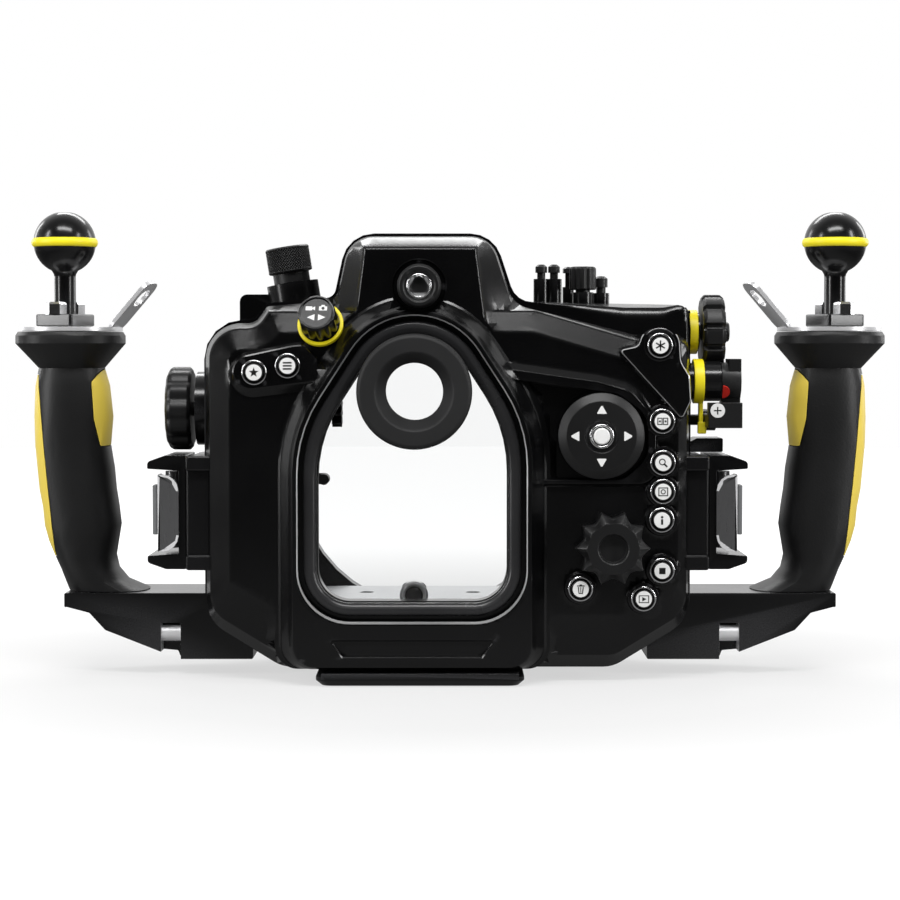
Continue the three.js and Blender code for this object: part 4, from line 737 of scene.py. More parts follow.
def signed_distance(places, line):
    """Distance of many places from a closed line, negative inside."""
    start = np.array([tuple(p) for p in line])
    end = np.roll(start, -1, axis=0)
    along = end - start
    squared = np.maximum((along ** 2).sum(1), 1e-12)
    out = np.empty(len(places))
    for first in range(0, len(places), 2000):
        here = places[first:first + 2000, None, :]
        arm = here - start[None]
        share = np.clip((arm * along[None]).sum(2) / squared[None], 0, 1)
        gap = arm - share[..., None] * along[None]
        near = np.sqrt((gap ** 2).sum(2).min(1))
        above = (start[None, :, 1] > here[..., 1]) != (end[None, :, 1] > here[..., 1])
        rise = np.where(np.abs(along[:, 1]) < 1e-12, 1e-12, along[:, 1])
        cross = start[None, :, 0] + (here[..., 1] - start[None, :, 1]) * along[None, :, 0] / rise[None]
        inside = ((above & (here[..., 0] < cross)).sum(1) % 2).astype(bool)
        out[first:first + 2000] = np.where(inside, -near, near)
    return out


class Form:
    """A raised or sunk form of the door."""

    def __init__(self, rings, sunk=False, drawn=None):
        self.rings = rings
        self.sunk = sunk
        self.drawn = rings if drawn is None else drawn

    def heights(self, places):
        """The form's height at each place, and where it has none."""
        blank = np.inf if self.sunk else -np.inf
        result = np.full(len(places), blank)
        outer = np.array([tuple(p) for p in self.rings[0][0]])
        low = outer.min(0) - 1
        high = outer.max(0) + 1
        near = np.where(((places >= low) & (places <= high)).all(1))[0]
        if not len(near):
            return result
        spots = places[near]
        before = signed_distance(spots, self.rings[0][0])
        values = np.full(len(spots), blank)
        last_height = self.rings[0][1]
        values[before <= 1e-5] = last_height
        for line, height in self.rings[1:]:
            after = signed_distance(spots, line)
            between = (before <= 1e-5) & (after > -1e-5)
            inner = np.maximum(after, 0)
            outer_gap = np.maximum(-before, 0)
            share = outer_gap / np.maximum(outer_gap + inner, 1e-9)
            values = np.where(between, last_height + (height - last_height) * share, values)
            values[after <= 1e-5] = height
            before = after
            last_height = height
        result[near] = values
        return result


def nest(make, levels):
    """Rings of a form from a function of the outline's spread and a list of (spread, height)."""
    return [(rounded(make(spread)), height) for spread, height in levels]


def round_form(x, z, levels, sunk=False, steps=56):
    """A form of circles, from the widest to the narrowest."""
    return Form([(circle(x, z, radius, steps), height) for radius, height in levels], sunk)


def rim_form():
    """The door's plate: a steep edge, a wide bevel that catches the light, and the flat panel."""
    levels = [
        (DOOR["inset"], 0, 0, DOOR["rim"]), (3.3, 2.6, 0.4, 32.6), (3.7, 3.2, 0.6, 33.9),
        (4.4, 3.7, 0.8, 34.6), (11.4, 8.5, 5.0, 37.5), (12.2, 9.0, 5.4, 37.85),
        (13.2, 9.5, 5.8, DOOR["panel"]),
    ]
    rings = [(rounded(inset(door_corners(rise, widen), spread)), h) for spread, rise, widen, h in levels]
    return Form(rings, drawn=rings[1:])


def hump_form():
    """The hump over the viewfinder: slanting cheeks, a bright upper bevel and a flat face."""
    full = inset(hump_corners(), DOOR["inset"])

    def face(spread):
        return [
            (-37.2 - spread, 141, 0.4), (13.8 + spread, 141, 0.4),
            (9.9 + spread, 171.6 + spread, 0.8), (-33.3 - spread, 171.6 + spread, 0.8),
        ]

    rings = [(rounded(full), DOOR["rim"]), (rounded(inset(full, 0.7)), 29.2)]
    bevel = [(1.0, 36.5), (0.55, 37.2), (0.1, 37.68), (-0.35, 37.92), (-0.9, DOOR["panel"])]
    rings += [(rounded(face(spread)), height) for spread, height in bevel]
    return Form(rings, drawn=rings[1:])


def block_bottom(spread):
    """How low the window block reaches at a spread: its face runs down to the door's lower edge."""
    known = [
        (5, 27.9), (7.4, 25.5), (7.45, 25.4), (7.9, 24.6), (8.6, 7.9), (9.3, 7.6), (11, 6.6),
        (14.5, 6.1), (17, 5.9),
    ]
    spreads, bottoms = zip(*known)
    return float(np.interp(spread, spreads, bottoms))


def block_form():
    """The raised block round the window, with a groove for the bezel."""
    top = DOOR["block"]
    groove = 41.4
    step = 37.3
    levels = [
        (17, DOOR["panel"]), (15.6, 38.15), (14.7, 38.6), (11.5, 43.2), (11, 44), (9.9, 46.2),
        (9.4, 46.8), (8.8, top), (7.9, top), (7.5, 46.8), (7.35, 46.3), (7.3, groove), (4.8, groove),
        (4.7, step), (0.0, step),
    ]
    rings = []
    for spread, height in levels:
        corners = window_corners(spread, block_bottom(spread) if spread > 4.9 else None)
        if spread > 8.2:
            corners[0] = (corners[0][0], corners[0][1], 9)
            corners[1] = (corners[1][0], corners[1][1], 9)
        rings.append((rounded(corners), height))
    return rings


def strip_form():
    """The shallow bare strip across the foot of the block."""
    middle = (PANE["left"] + PANE["right"]) / 2

    def outline(spread):
        return [
            (middle - 27 - spread, 11.6 - spread, 0.5), (middle + 27 + spread, 11.6 - spread, 0.5),
            (middle + 32 + spread, 17.8 + spread, 0.5), (middle - 32 - spread, 17.8 + spread, 0.5),
        ]

    return Form(nest(outline, [(0.5, DOOR["block"]), (0.1, 46.6), (0, 45.8), (-0.5, 45.6)]), sunk=True)


def signs_plateau():
    """The raised field of the two buttons at the upper left, which runs out towards the window block."""
    levels = [
        (-89.2, 107.5, 131.5, 12, 111.6, 34.5), (-86.9, 112.0, 129.6, 9.5, 116.2, 38.0),
        (-85.4, 115.2, 128.6, 7.6, 119.2, 40.7), (-84.8, 115.9, 128.1, 7, 119.9, 41),
    ]
    rings = []
    for left, low, high, radius, right_low, height in levels:
        rise = high - 128.1
        corners = [
            (left, low, radius), (-52, right_low, 1), (-52, 128.2 + 0.3 * rise, 2.5),
            (-57.5, 133.3 + rise, 2.5), (-61.5, 133.1 + rise, 2), (left, high, radius - 0.6),
        ]
        rings.append((rounded(corners), height))
    return Form(rings)


def pad_platform():
    """The raised field round the four-way pad, whose upper flank catches the light."""
    def outline(spread):
        return [
            (16, 79.4 - 0.4 * spread, 1), (80.6 + 0.3 * spread, 79.4 - 0.4 * spread, 6),
            (80.9 + 0.3 * spread, 104.5, 4), (70.6 + 0.7 * spread, 115.6 + spread, 9),
            (58.9, 119.1 + spread, 14), (16, 125.2 + spread, 1),
        ]

    levels = [(3.6, DOOR["panel"]), (2.6, 38.35), (0.4, 40.25), (0, 40.5), (-0.6, 40.6)]
    return Form(nest(outline, levels))


def pad_recess():
    """The sunk field under the four-way pad."""
    def outline(spread):
        return [
            (16, 80.9 - spread, 0.6), (68, 80.9 - spread, 8), (77.6 + spread, 89, 10),
            (77.6 + spread, 106, 10), (66, 114.4 + spread, 7), (57.2, 115.7 + spread, 3),
            (16, 121.4 + spread, 0.6),
        ]

    return Form(nest(outline, [(0.35, 40.6), (0.1, 40.35), (0, 39.8), (-0.4, PAD["floor"])]), sunk=True)


def star_plateau():
    """The raised, sharp-edged field of the button at the upper right, with an arc round the button."""
    def outline(spread):
        x, z = BUTTONS["star_button"]
        radius = 6.9
        corners = [
            (90.9, 105.4, 0.8), (94.0, 112, 3), (93.4, 121.4, 2), (x + radius + 0.9, z - 6.5, 7),
            (x + radius, z + radius, radius - 0.3), (x - radius, z + radius, radius - 0.3),
            (x - radius - 0.6, z - 0.6, 3.5), (67.2, 131.4, 0.6),
        ]
        return inset(corners, -spread)

    return Form(nest(outline, [(1.4, 35), (0.62, 38.6), (0.5, 40.35), (0.14, 40.75), (-0.3, 40.8)]))


def button_forms():
    """A round boss with a well at every push button."""
    b = BUTTON
    boss = [(7.4, 37.6), (6.5, 38.2), (6.25, 38.9), (b["boss"], 40.5), (6.0, 40.9), (5.6, b["seat"])]
    well = [(4.02, 41.4), (3.95, b["seat"]), (b["well"], b["floor"])]
    forms = []
    for x, z in BUTTONS.values():
        forms.append(round_form(x, z, boss))
        forms.append(round_form(x, z, well, sunk=True))
    return forms


def other_forms():
    """The moat of the port plug and the seat of the rear dial."""
    panel = DOOR["panel"]
    moat = [(10.9, panel), (10.5, 37.85), (10.1, 37), (9.9, 36.8)]
    seat = [(6.6, panel), (6, 38.4), (5.9, 40.6)]
    return [
        round_form(PLUG["x"], PLUG["z"], moat, sunk=True),
        round_form(REAR_DIAL["x"], REAR_DIAL["z"], seat),
    ]


def door_outline(spread):
    """The door's whole outline, moved in from the shell's."""
    return rounded(inset(shell_corners(False), spread))


def door_back(heights, places):
    """The height of the door's inner side: its rim, then the ceiling of its hollow."""
    edge = signed_distance(places, door_outline(DOOR["inset"] + DOOR["wall"] + 0.1))
    return np.where(edge > 0, DOOR["front"], np.minimum(DOOR["ceiling"], heights - 1.5))


def door_shape():
    """The door as one closed body: its relief, its inner side and the walls between."""
    outline = door_outline(DOOR["inset"])
    hole = rounded(window_corners(0))
    block = block_form()
    raised = [rim_form(), hump_form(), signs_plateau(), pad_platform(), star_plateau()]
    deep = [pad_recess()]
    seats = button_forms()
    late = [strip_form()] + other_forms()
    hollow = DOOR["inset"] + DOOR["wall"]
    lines = [outline, hole, door_outline(hollow), door_outline(hollow + 0.2)]
    lines += [line for line, _ in block[:-1]]
    for form in raised + deep + seats + late:
        lines += [line for line, _ in form.drawn]
    spots = []
    edges = []
    for line in lines:
        start = len(spots)
        spots += [Vector(p) for p in line]
        edges += [(start + i, start + (i + 1) % len(line)) for i in range(len(line))]
    spacing = 2.6
    columns = int(196 / spacing)
    rows = int(176 / spacing)
    first_spot = len(spots)
    for i in range(columns):
        for j in range(rows):
            x = SHELL["left"] + i * spacing + 0.37
            z = SHELL["bottom"] + j * spacing + 0.53
            spots.append(Vector((x, z)))
    free = np.array([tuple(p) for p in spots[first_spot:]])
    gaps = np.full(len(free), np.inf)
    for line in lines:
        gaps = np.minimum(gaps, np.abs(signed_distance(free, line)))
    spots = spots[:first_spot] + [Vector(p) for p in free[gaps > 0.8]]
    found = delaunay_2d_cdt(spots, edges, [], 0, 1e-4, False)
    places = np.array([tuple(p) for p in found[0]])
    triangles = np.array(found[2])
    middles = places[triangles].mean(1)
    kept = (signed_distance(middles, outline) < 0) & (signed_distance(middles, hole) > 0)
    triangles = triangles[kept]
    used = np.unique(triangles)
    place_of = np.full(len(places), -1)
    place_of[used] = np.arange(len(used))
    places = places[used]
    triangles = place_of[triangles]
    heights = door_heights(places, raised, deep, seats, late, block)
    backs = door_back(heights, places)
    count = len(places)
    points = [(x, -h, z) for (x, z), h in zip(places, heights)]
    points += [(x, -h, z) for (x, z), h in zip(places, backs)]
    faces = [tuple(int(i) for i in t) for t in triangles]
    back_faces = [tuple(int(i) + count for i in reversed(t)) for t in triangles]
    middles = places[triangles].mean(1)
    # Faces of the star plateau's edge band and of the window block's inner top edge take the second finish:
    # a painted highlight along these edges.
    bright = between(middles, raised[-1].rings[2][0], raised[-1].rings[3][0])
    bright |= between(middles, block[8][0], block[10][0])
    shape = Shape().add(points, faces + back_faces + rim_walls(faces, count))
    shape.finishes[:len(faces)] = [int(b) for b in bright]
    return shape


def between(places, outer, inner):
    """Which places lie between two closed lines."""
    return (signed_distance(places, outer) < 0) & (signed_distance(places, inner) > 0)


def rim_walls(faces, count):
    """Quads along the free edges of the relief, down to its inner side."""
    seen = {}
    for face in faces:
        for i, start in enumerate(face):
            end = face[(i + 1) % 3]
            seen[(start, end)] = True
    return [(b, a, a + count, b + count) for a, b in seen if (b, a) not in seen]


def door_heights(places, raised, deep, seats, late, block):
    """Heights of the relief: raised forms join, then sunk forms cut."""
    heights = np.full(len(places), float(DOOR["rim"]))
    for form in raised:
        heights = np.maximum(heights, form.heights(places))
    for form in deep:
        heights = np.minimum(heights, form.heights(places))
    outside = signed_distance(places, block[7][0])
    block_heights = Form(block).heights(places)
    heights = np.where(outside > 0, np.maximum(heights, block_heights), block_heights)
    for form in seats + late:
        values = form.heights(places)
        heights = np.minimum(heights, values) if form.sunk else np.maximum(heights, values)
    return heights


class HOUSING_OT_finishes(bpy.types.Operator):
    """Makes the finishes of all the pieces."""

    bl_idname = "housing.finishes"
    bl_label = "Finishes"

    def execute(self, context):
        c = context.scene.housing_colours
        grain = context.scene.housing_sizes.grain
        shallow = 0.000004
        finish("black_anodised", c.black, 0.21, grain=grain, depth=0.000012, strength=0.25, wear=0.5,
               wear_colour=(0.09, 0.09, 0.095), mottle=0.3)
        finish("black_plastic", c.plastic, 0.42, grain=0.0007, depth=0.00003, strength=0.4, wear=0.4,
               wear_colour=(0.07, 0.07, 0.07), mottle=0.2)
        finish("grip_plastic", c.plastic, 0.46, grain=0.0009, depth=0.00008, strength=0.6, mottle=0.2)
        finish("black_rubber", c.rubber, 0.58, grain=0.0004, depth=0.00003, strength=0.4, mottle=0.2,
               specular=0.4)
        finish("yellow_plastic", c.yellow, 0.42, grain=0.0009, depth=0.00003, strength=0.3, mottle=0.04)
        finish("yellow_pad", c.pad_yellow, 0.5, grain=0.0009, depth=0.00005, strength=0.4, mottle=0.04)
        drawn = (1, 1, 0.06)
        finish("steel", c.steel, 0.34, metallic=0.75, grain=0.0006, depth=0.000003, strength=0.08,
               mottle=0.05, stretch=drawn, streak=0.03)
        finish("latch_steel", c.latch, 0.3, metallic=0.8, grain=0.0005, depth=shallow, strength=0.1,
               mottle=0.08, stretch=drawn, streak=0.04)
        finish("bolt_steel", c.silver, 0.4, metallic=0.3, grain=0.0005, depth=shallow, strength=0.1,
               mottle=0.06)
        finish("plate_steel", c.silver, 0.34, metallic=0.62, grain=0.0005, depth=shallow, strength=0.1,
               mottle=0.08)
        finish("bezel_black", c.bezel, 0.26, grain=0.0005, depth=0.00001, strength=0.15, mottle=0.2)
        # A bright metal finish for thin edge bands of the door: a painted highlight in place of a lamp's
        # reflection.
        finish("painted_highlight_edge", c.silver, 0.3, metallic=0.8, grain=0.0004, depth=shallow, strength=0.1,
               mottle=0.3)
        finish("silver", c.silver, 0.2, metallic=1, grain=0.0004, depth=shallow, strength=0.2, mottle=0.04)
        finish("grey", c.grey, 0.36, grain=0.0005, depth=0.00002, strength=0.3, wear=0.4,
               wear_colour=(0.4, 0.4, 0.4), mottle=0.12)
        finish("white_plastic", c.white, 0.4, grain=0.0006, depth=0.00001, strength=0.2, mottle=0.02)
        finish("red_label", c.red, 0.4, grain=0.0006, depth=0.00001, strength=0.2, mottle=0.05)
        finish("sign_black", (0.004, 0.004, 0.004), 0.5, grain=0.0006, depth=0.00001, strength=0.1)
        clear_finish("clear_glass")
        return {"FINISHED"}


class HOUSING_OT_rear_door(bpy.types.Operator):
    """Builds the rear door with its relief and latch ears, the button collars and the selector's ring."""

    bl_idname = "housing.rear_door"
    bl_label = "Rear door"

    def execute(self, context):
        shape = door_shape()
        for side in (-1, 1):
            latch_ear(shape, side)
        view_boss(shape)
        star_disc(shape)
        # The second finish paints highlights on thin edge bands of the door.
        finishes = ["black_anodised", "painted_highlight_edge"]
        piece("rear_door_body", shape, finishes, ["rear_door"], sharp=math.radians(20))
        collars = Shape()
        for x, z in BUTTONS.values():
            collar_ring(collars, x, z)
        piece("button_collars", collars, ["silver"], [], body="door")
        ring = Shape()
        knob = VIEW_KNOB
        thick = knob["ring_thick"]
        inner = 7.7
        profile = [(inner, -thick), (knob["ring"], -thick), (knob["ring"], 0.5), (inner, 0.5)]
        spin(ring, soften(profile, 0.3, 3, True), knob["place"], knob["aim"], 72)
        piece("selector_ring", ring, ["yellow_plastic"], [], body="door")
        return {"FINISHED"}


def collar_ring(shape, x, z):
    """A bright collar round a push button."""
    b = BUTTON
    inner = b["collar_inner"]
    foot = b["collar_foot"]
    top = b["rim"]
    outer = b["collar"]
    profile = [(inner, foot), (outer, foot), (outer, 41.9), (4.7, top), (4.25, top), (inner, 41.9)]
    spin(shape, soften(profile, 0.2, 2, True), Vector((x, 0, z)), REAR, 48)


def latch_ear(shape, side):
    """The ear by which a latch holds the door: two ribs and a web between them."""
    inner = 90.0
    outer = LATCH["seam"] - 0.3
    rows = [
        (LATCH["bottom"], LATCH["bottom"] + 6, 33), (LATCH["top"] - 6, LATCH["top"], 33),
        (LATCH["bottom"] + 5, LATCH["top"] - 5, 30),
    ]
    for low, high, height in rows:
        near = CENTRE + side * inner
        far = CENTRE + side * outer
        left, right = min(near, far), max(near, far)
        corners = [(left, low, 1.2), (right, low, 1.2), (right, high, 1.2), (left, high, 1.2)]
        rings = []
        for along, shrink in [(DOOR["front"], 0), (height - 0.8, 0), (height - 0.25, 0.25), (height, 0.8)]:
            line = rounded(inset(corners, shrink), math.radians(15), 1000)
            rings.append(at_height(line, along))
        most = min(len(r) for r in rings)
        loft(shape, [r[:most] for r in rings])


def star_disc(shape):
    """The disc round the upper right button, which stands over the door's edge."""
    x, z = BUTTONS["star_button"]
    well = BUTTON["well"]
    floor = BUTTON["floor"]
    profile = [(0, 22), (6.9, 22), (6.9, 40.2), (6.7, 40.65), (6.3, 40.8), (4.0, 40.8), (well, floor),
               (0, floor)]
    spin(shape, profile, Vector((x, 0, z)), REAR, 72)


def view_boss(shape):
    """The slanting boss of the live view selector."""
    knob = VIEW_KNOB
    profile = soften([(0, -14), (knob["boss"], -14), (knob["boss"], -0.4), (0, -0.4)], 0.4)
    spin(shape, profile, knob["place"], knob["aim"], 64)


class HOUSING_OT_window(bpy.types.Operator):
    """Builds the bezel round the window and gives the pane its clear finish."""

    bl_idname = "housing.window"
    bl_label = "Window"

    def execute(self, context):
        seat = 41.6
        profile = [(0.2, seat), (0.2, 43.2), (1.1, 44.3), (2.9, 45.1), (4.7, 44.7), (5.5, 43.6),
                   (5.5, seat)]
        rings = []
        for spread, height in soften(profile, 0.7, 4, True):
            rings.append(at_height(rounded(window_corners(spread), math.radians(5), 6), height))
        most = min(len(r) for r in rings)
        shape = Shape()
        loft(shape, [r[:most] for r in rings], closed=True)
        piece("window_bezel_ring", shape, ["bezel_black"], ["window_bezel"], sharp=math.radians(60))
        carry("window_pane", "clear_glass")
        return {"FINISHED"}


class HOUSING_OT_eyepiece(bpy.types.Operator):
    """Builds the rubber eyepiece cup; its glass keeps its mesh."""

    bl_idname = "housing.eyepiece"
    bl_label = "Eyepiece"

    def execute(self, context):
        profile = [
            (11.4, 36), (11.4, 51.4), (11.1, 52), (11.1, 53), (14.6, 57.2), (15.4, 57.9), (20.8, 58),
            (21.9, 57.4), (22.4, 56.2), (22.4, 55.4), (21.2, 54.2), (15.2, 53), (15, 50), (15, 33),
            (12.9, 33), (12.9, 36),
        ]
        shape = Shape()
        spin(shape, soften(profile, 0.35, 2, True), Vector((EYE["x"], 0, EYE["z"])), REAR, 96)
        piece("eyepiece_rubber", shape, ["black_rubber"], ["eyepiece_cup"])
        carry("eyepiece_glass", "clear_glass")
        return {"FINISHED"}


class HOUSING_OT_port_plug(bpy.types.Operator):
    """Builds the plug of the accessory port with its bright three-lobed socket."""

    bl_idname = "housing.port_plug"
    bl_label = "Port plug"

    def execute(self, context):
        place = Vector((PLUG["x"], 0, PLUG["z"]))
        rear = PLUG["rear"]
        end = PLUG["end"]
        seat = PLUG["seat"]
        full = PLUG["radius"]
        body = [(0, end), (6, end), (6, seat), (full, seat), (full, PLUG["flange"]), (7.7, rear),
                (6.4, rear), (5.9, rear - 0.5), (5.0, rear - 0.5), (4.9, rear - 2.9), (0, rear - 2.9)]
        shape = Shape()
        spin(shape, soften(body, 0.3), place, REAR, 72)
        cup = [(3.3, rear - 3), (4.85, rear - 3), (4.85, rear - 0.35), (4.4, rear - 0.2), (3.9, rear - 0.9),
               (3.3, rear - 2)]

        def socket(reach, along, turn):
            depth = 0.75 if reach < 4.2 else 0
            return reach - depth * (1 + math.cos(3 * turn - math.pi / 2)) / 2

        spin(shape, soften(cup, 0.15, 2, True), place, REAR, 72, finish=1, radius_at=socket)
        piece("port_plug", shape, ["black_plastic", "silver"], ["accessory_plug"])
        return {"FINISHED"}


# Signs of the push buttons, in units of half their size, x to the right and y up.

def bar(left, right, low, high):
    """A rectangle of a sign."""
    return [(left, low), (right, low), (right, high), (left, high)]


def disc(x, y, radius, steps=20):
    """A round dot of a sign."""
    turns = [FULL_TURN * k / steps for k in range(steps)]
    return [(x + radius * math.cos(a), y + radius * math.sin(a)) for a in turns]


def frame_bars(half, height, width):
    """Four bars that frame a rectangle."""
    return [
        bar(-half, half, height - width, height), bar(-half, half, -height, width - height),
        bar(-half, width - half, width - height, height - width),
        bar(half - width, half, width - height, height - width),
    ]


def ring_bars(x, y, radius, width, steps=16):
    """A ring made of short pieces."""
    def at(reach, angle):
        return (x + reach * math.cos(angle), y + reach * math.sin(angle))

    pieces = []
    for k in range(steps):
        a = FULL_TURN * k / steps
        b = FULL_TURN * (k + 1) / steps
        inner = radius - width
        pieces.append([at(inner, a), at(radius, a), at(radius, b), at(inner, b)])
    return pieces


def spoke(angle, length, width, start=0.0):
    """A bar from the middle outwards."""
    along = Vector((math.cos(angle), math.sin(angle)))
    side = Vector((-along.y, along.x)) * width / 2
    ends = [along * start - side, along * length - side, along * length + side, along * start + side]
    return [tuple(p) for p in ends]


def sign_of(name):
    """The outlines of a button's sign."""
    if name == "rating_button":
        turns = [math.pi / 2 + math.pi * k / 5 for k in range(10)]
        reaches = [1, 0.42] * 5
        return [[(reach * math.cos(a), reach * math.sin(a)) for reach, a in zip(reaches, turns)]]
    if name == "menu_button":
        return [bar(-0.85, 0.85, y - 0.15, y + 0.15) for y in (-0.6, 0, 0.6)]
    if name == "star_button":
        return [spoke(math.pi / 2 + math.pi * k / 3, 1, 0.26) for k in range(6)]
    if name == "compare_button":
        apart = 0.55
        bars = frame_bars(0.5, 0.7, 0.17)
        frames = [[(x + side * apart, y) for x, y in b] for side in (-1, 1) for b in bars]
        return frames + [disc(apart, 0, 0.2), disc(-apart, 0, 0.2)]
    if name == "zoom_button":
        handle = [(x - 0.2, y + 0.2) for x, y in spoke(-math.pi / 4, 1.35, 0.32, 0.55)]
        return ring_bars(-0.2, 0.2, 0.66, 0.2) + [handle]
    if name == "quick_button":
        return frame_bars(0.95, 0.85, 0.18) + ring_bars(0, 0, 0.5, 0.18)
    if name == "info_button":
        return [disc(0, 0.62, 0.24), bar(-0.2, 0.2, -0.85, 0.22)]
    if name == "set_button":
        return [bar(-0.62, 0.62, -0.62, 0.62)]
    if name == "play_button":
        return frame_bars(1, 0.75, 0.16) + [[(-0.32, -0.42), (0.5, 0), (-0.32, 0.42)]]
    return [
        bar(-0.75, 0.75, 0.55, 0.75), bar(-0.25, 0.25, 0.75, 0.95),
        [(-0.58, 0.42), (-0.42, -0.9), (-0.26, -0.9), (-0.36, 0.42)],
        [(0.36, 0.42), (0.26, -0.9), (0.42, -0.9), (0.58, 0.42)],
        bar(-0.26, 0.26, -0.9, -0.74), bar(-0.08, 0.08, -0.64, 0.42),
    ]


def add_sign(shape, outlines, size, place, direction, height, finish, thick=0.08, up=UP):
    """Lays a sign on a face; the sign's own up direction stays upright."""
    turn = Vector((0, 0, 1)).rotation_difference(direction)
    right = up.cross(direction).normalized()
    local_right = turn.inverted() @ right
    roll = math.atan2(local_right.y, local_right.x)
    for outline in outlines:
        scaled = [(x * size, y * size) for x, y in outline]
        prism(shape, scaled, height - 0.2, height + thick, place, direction, finish, roll)


class HOUSING_OT_push_buttons(bpy.types.Operator):
    """Builds the ten round push buttons of the rear door."""

    bl_idname = "housing.push_buttons"
    bl_label = "Push buttons"

    def execute(self, context):
        size = context.scene.housing_sizes.sign / MM
        for name, (x, z) in BUTTONS.items():
            shape = Shape()
            place = Vector((x, 0, z))
            b = BUTTON
            face = b["face"]
            end = b["end"]
            stem = b["stem"]
            cap = b["cap"]
            disc_edge = b["disc"]
            body = [(0, end), (b["tip"], end), (b["tip"], b["tip_top"]), (stem, b["tip_top"]),
                    (stem, b["under"]), (cap, b["under"]), (cap, face - 0.35), (3.35, face - 0.05),
                    (3.2, face - 0.12), (0, face - 0.12)]
            spin(shape, soften(body, 0.12, 2), place, REAR, 48)
            disc_profile = [(0, face - 0.4), (disc_edge, face - 0.4), (disc_edge, face - 0.02),
                            (3.0, face + 0.02), (0, face + 0.06)]
            spin(shape, disc_profile, place, REAR, 48, finish=1)
            add_sign(shape, sign_of(name), size, place, REAR, face + 0.06, 2, 0.05)
            piece(name + "_cap", shape, ["black_plastic", "white_plastic", "sign_black"], [name])
        return {"FINISHED"}


class HOUSING_OT_four_way_pad(bpy.types.Operator):
    """Builds the four-way pad, its centre button and its signs."""

    bl_idname = "housing.four_way_pad"
    bl_label = "Four-way pad"

    def execute(self, context):
        place = Vector((PAD["x"], 0, PAD["z"]))
        rear = PAD["rear"]
        under = PAD["under"]
        full = PAD["radius"]
        body = [(PAD["hole"], under), (15.6, under), (full, under + 0.8), (full, rear - 1.9),
                (13.6, rear), (6.6, rear), (6.0, rear - 0.9), (4.95, rear - 0.9), (PAD["hole"], rear - 0.9)]
        shape = Shape()
        spin(shape, soften(body, 0.3, 2, True), place, REAR, 96)
        collar = [(3.75, rear - 1.2), (4.85, rear - 1.2), (4.85, rear + 0.7), (4.5, rear + 1),
                  (4.05, rear + 1), (3.75, rear + 0.7)]
        spin(shape, soften(collar, 0.2, 2, True), place, REAR, 64, finish=1)
        for k in range(4):
            turn = math.pi / 2 * k
            tip = [(-0.95, -0.75), (0.95, -0.75), (0.95, -0.55), (0.16, 0.85), (-0.16, 0.85),
                   (-0.95, -0.55)]
            size = PAD["arrow"]
            out = PAD["arrow_middle"] / size
            rolled = [Matrix.Rotation(turn, 2) @ Vector((x, y + out)) for x, y in tip]
            add_sign(shape, [[tuple(p) for p in rolled]], size, place, REAR, rear, 2, 0.1)
        piece("four_way_pad_disc", shape, ["black_plastic", "silver", "white_plastic"], ["four_way_pad"])
        knob = Shape()
        cap = [(0, 40.4), (1.4, 40.4), (1.4, 42.4), (3.3, 42.4), (3.3, 45.4), (2.9, 45.95), (0, 46)]
        spin(knob, soften(cap, 0.25), place, REAR, 48)
        piece("four_way_centre", knob, ["white_plastic"], ["four_way_button"])
        carry("four_way_gimbal", "steel")
        return {"FINISHED"}


class HOUSING_OT_rear_dial(bpy.types.Operator):
    """Builds the star-shaped rear dial with ridges that run to its tips."""

    bl_idname = "housing.rear_dial"
    bl_label = "Rear dial"

    def execute(self, context):
        d = REAR_DIAL
        place = Vector((d["x"], 0, d["z"]))
        shape = Shape()

        def star(reach, along, turn):
            if reach < 10:
                return reach
            beat = (turn * d["points"] / FULL_TURN) % 1
            swing = abs(2 * beat - 1) ** 1.7
            depth = (d["radius"] - d["valley"]) * min(1, (reach - 10) / 3)
            return reach - depth * (1 - swing)

        full = d["radius"]
        rear = d["rear"]
        under = d["under"]
        body = [(0, 25), (3, 25), (3, under), (13.4, under), (full, 43), (full, 46.4), (14.2, 47.2),
                (10.4, 49.9), (9.6, rear), (6.2, rear), (5.6, 49.5), (5.3, 46.8), (0, 46.6)]
        spin(shape, soften(body, 0.3, 2), place, REAR, 160, radius_at=star)
        piece("rear_dial_star", shape, ["black_plastic"], ["rear_dial"], sharp=math.radians(30))
        return {"FINISHED"}


class HOUSING_OT_view_knob(bpy.types.Operator):
    """Builds the live view selector knob and the signs on its face."""

    bl_idname = "housing.view_knob"
    bl_label = "Live view knob"

    def execute(self, context):
        k = VIEW_KNOB
        shape = Shape()
        top = k["length"]
        full = k["radius"]
        body = [(0, -9), (2.4, -9), (2.4, 0.3), (6.8, 0.3), (full, 1.2), (full, top - 1.1), (7.3, top),
                (6.9, top + 0.35), (6.4, top + 0.35), (6.1, top), (0, top)]
        rim = lobes(k["lobes"], full, k["valley"], 0.7)
        spin(shape, soften(body, 0.35, 3), k["place"], k["aim"], 144,
             radius_at=lambda r, along, turn: rim(r, along, turn) if r > 7.4 else r)
        camera = [bar(-1.05, 1.05, -0.6, 0.55), bar(-0.45, 0.45, 0.5, 0.95)]
        film = [bar(-1.2, 0.5, -0.6, 0.6), [(0.5, -0.15), (1.25, -0.6), (1.25, 0.6), (0.5, 0.15)]]
        signs = [
            [[(x * 1.5 + 2.5, y * 1.5 + 1.9) for x, y in b] for b in camera],
            [[(x * 1.5 - 2.5, y * 1.35 + 1.9) for x, y in b] for b in film],
            [[(-3.6, -1.9), (-0.7, -3.2), (-0.7, -0.6)]],
            [[(3.6, -1.9), (0.7, -0.6), (0.7, -3.2)]],
        ]
        for outlines in signs:
            add_sign(shape, outlines, 1, k["place"], k["aim"], top, 1, 0.1)
        add_sign(shape, [disc(2.5, 1.9, 0.6)], 1, k["place"], k["aim"], top + 0.1, 2, 0.06)
        finishes = ["black_anodised", "white_plastic", "sign_black"]
        piece("live_view_dial", shape, finishes, ["live_view_knob"])
        return {"FINISHED"}


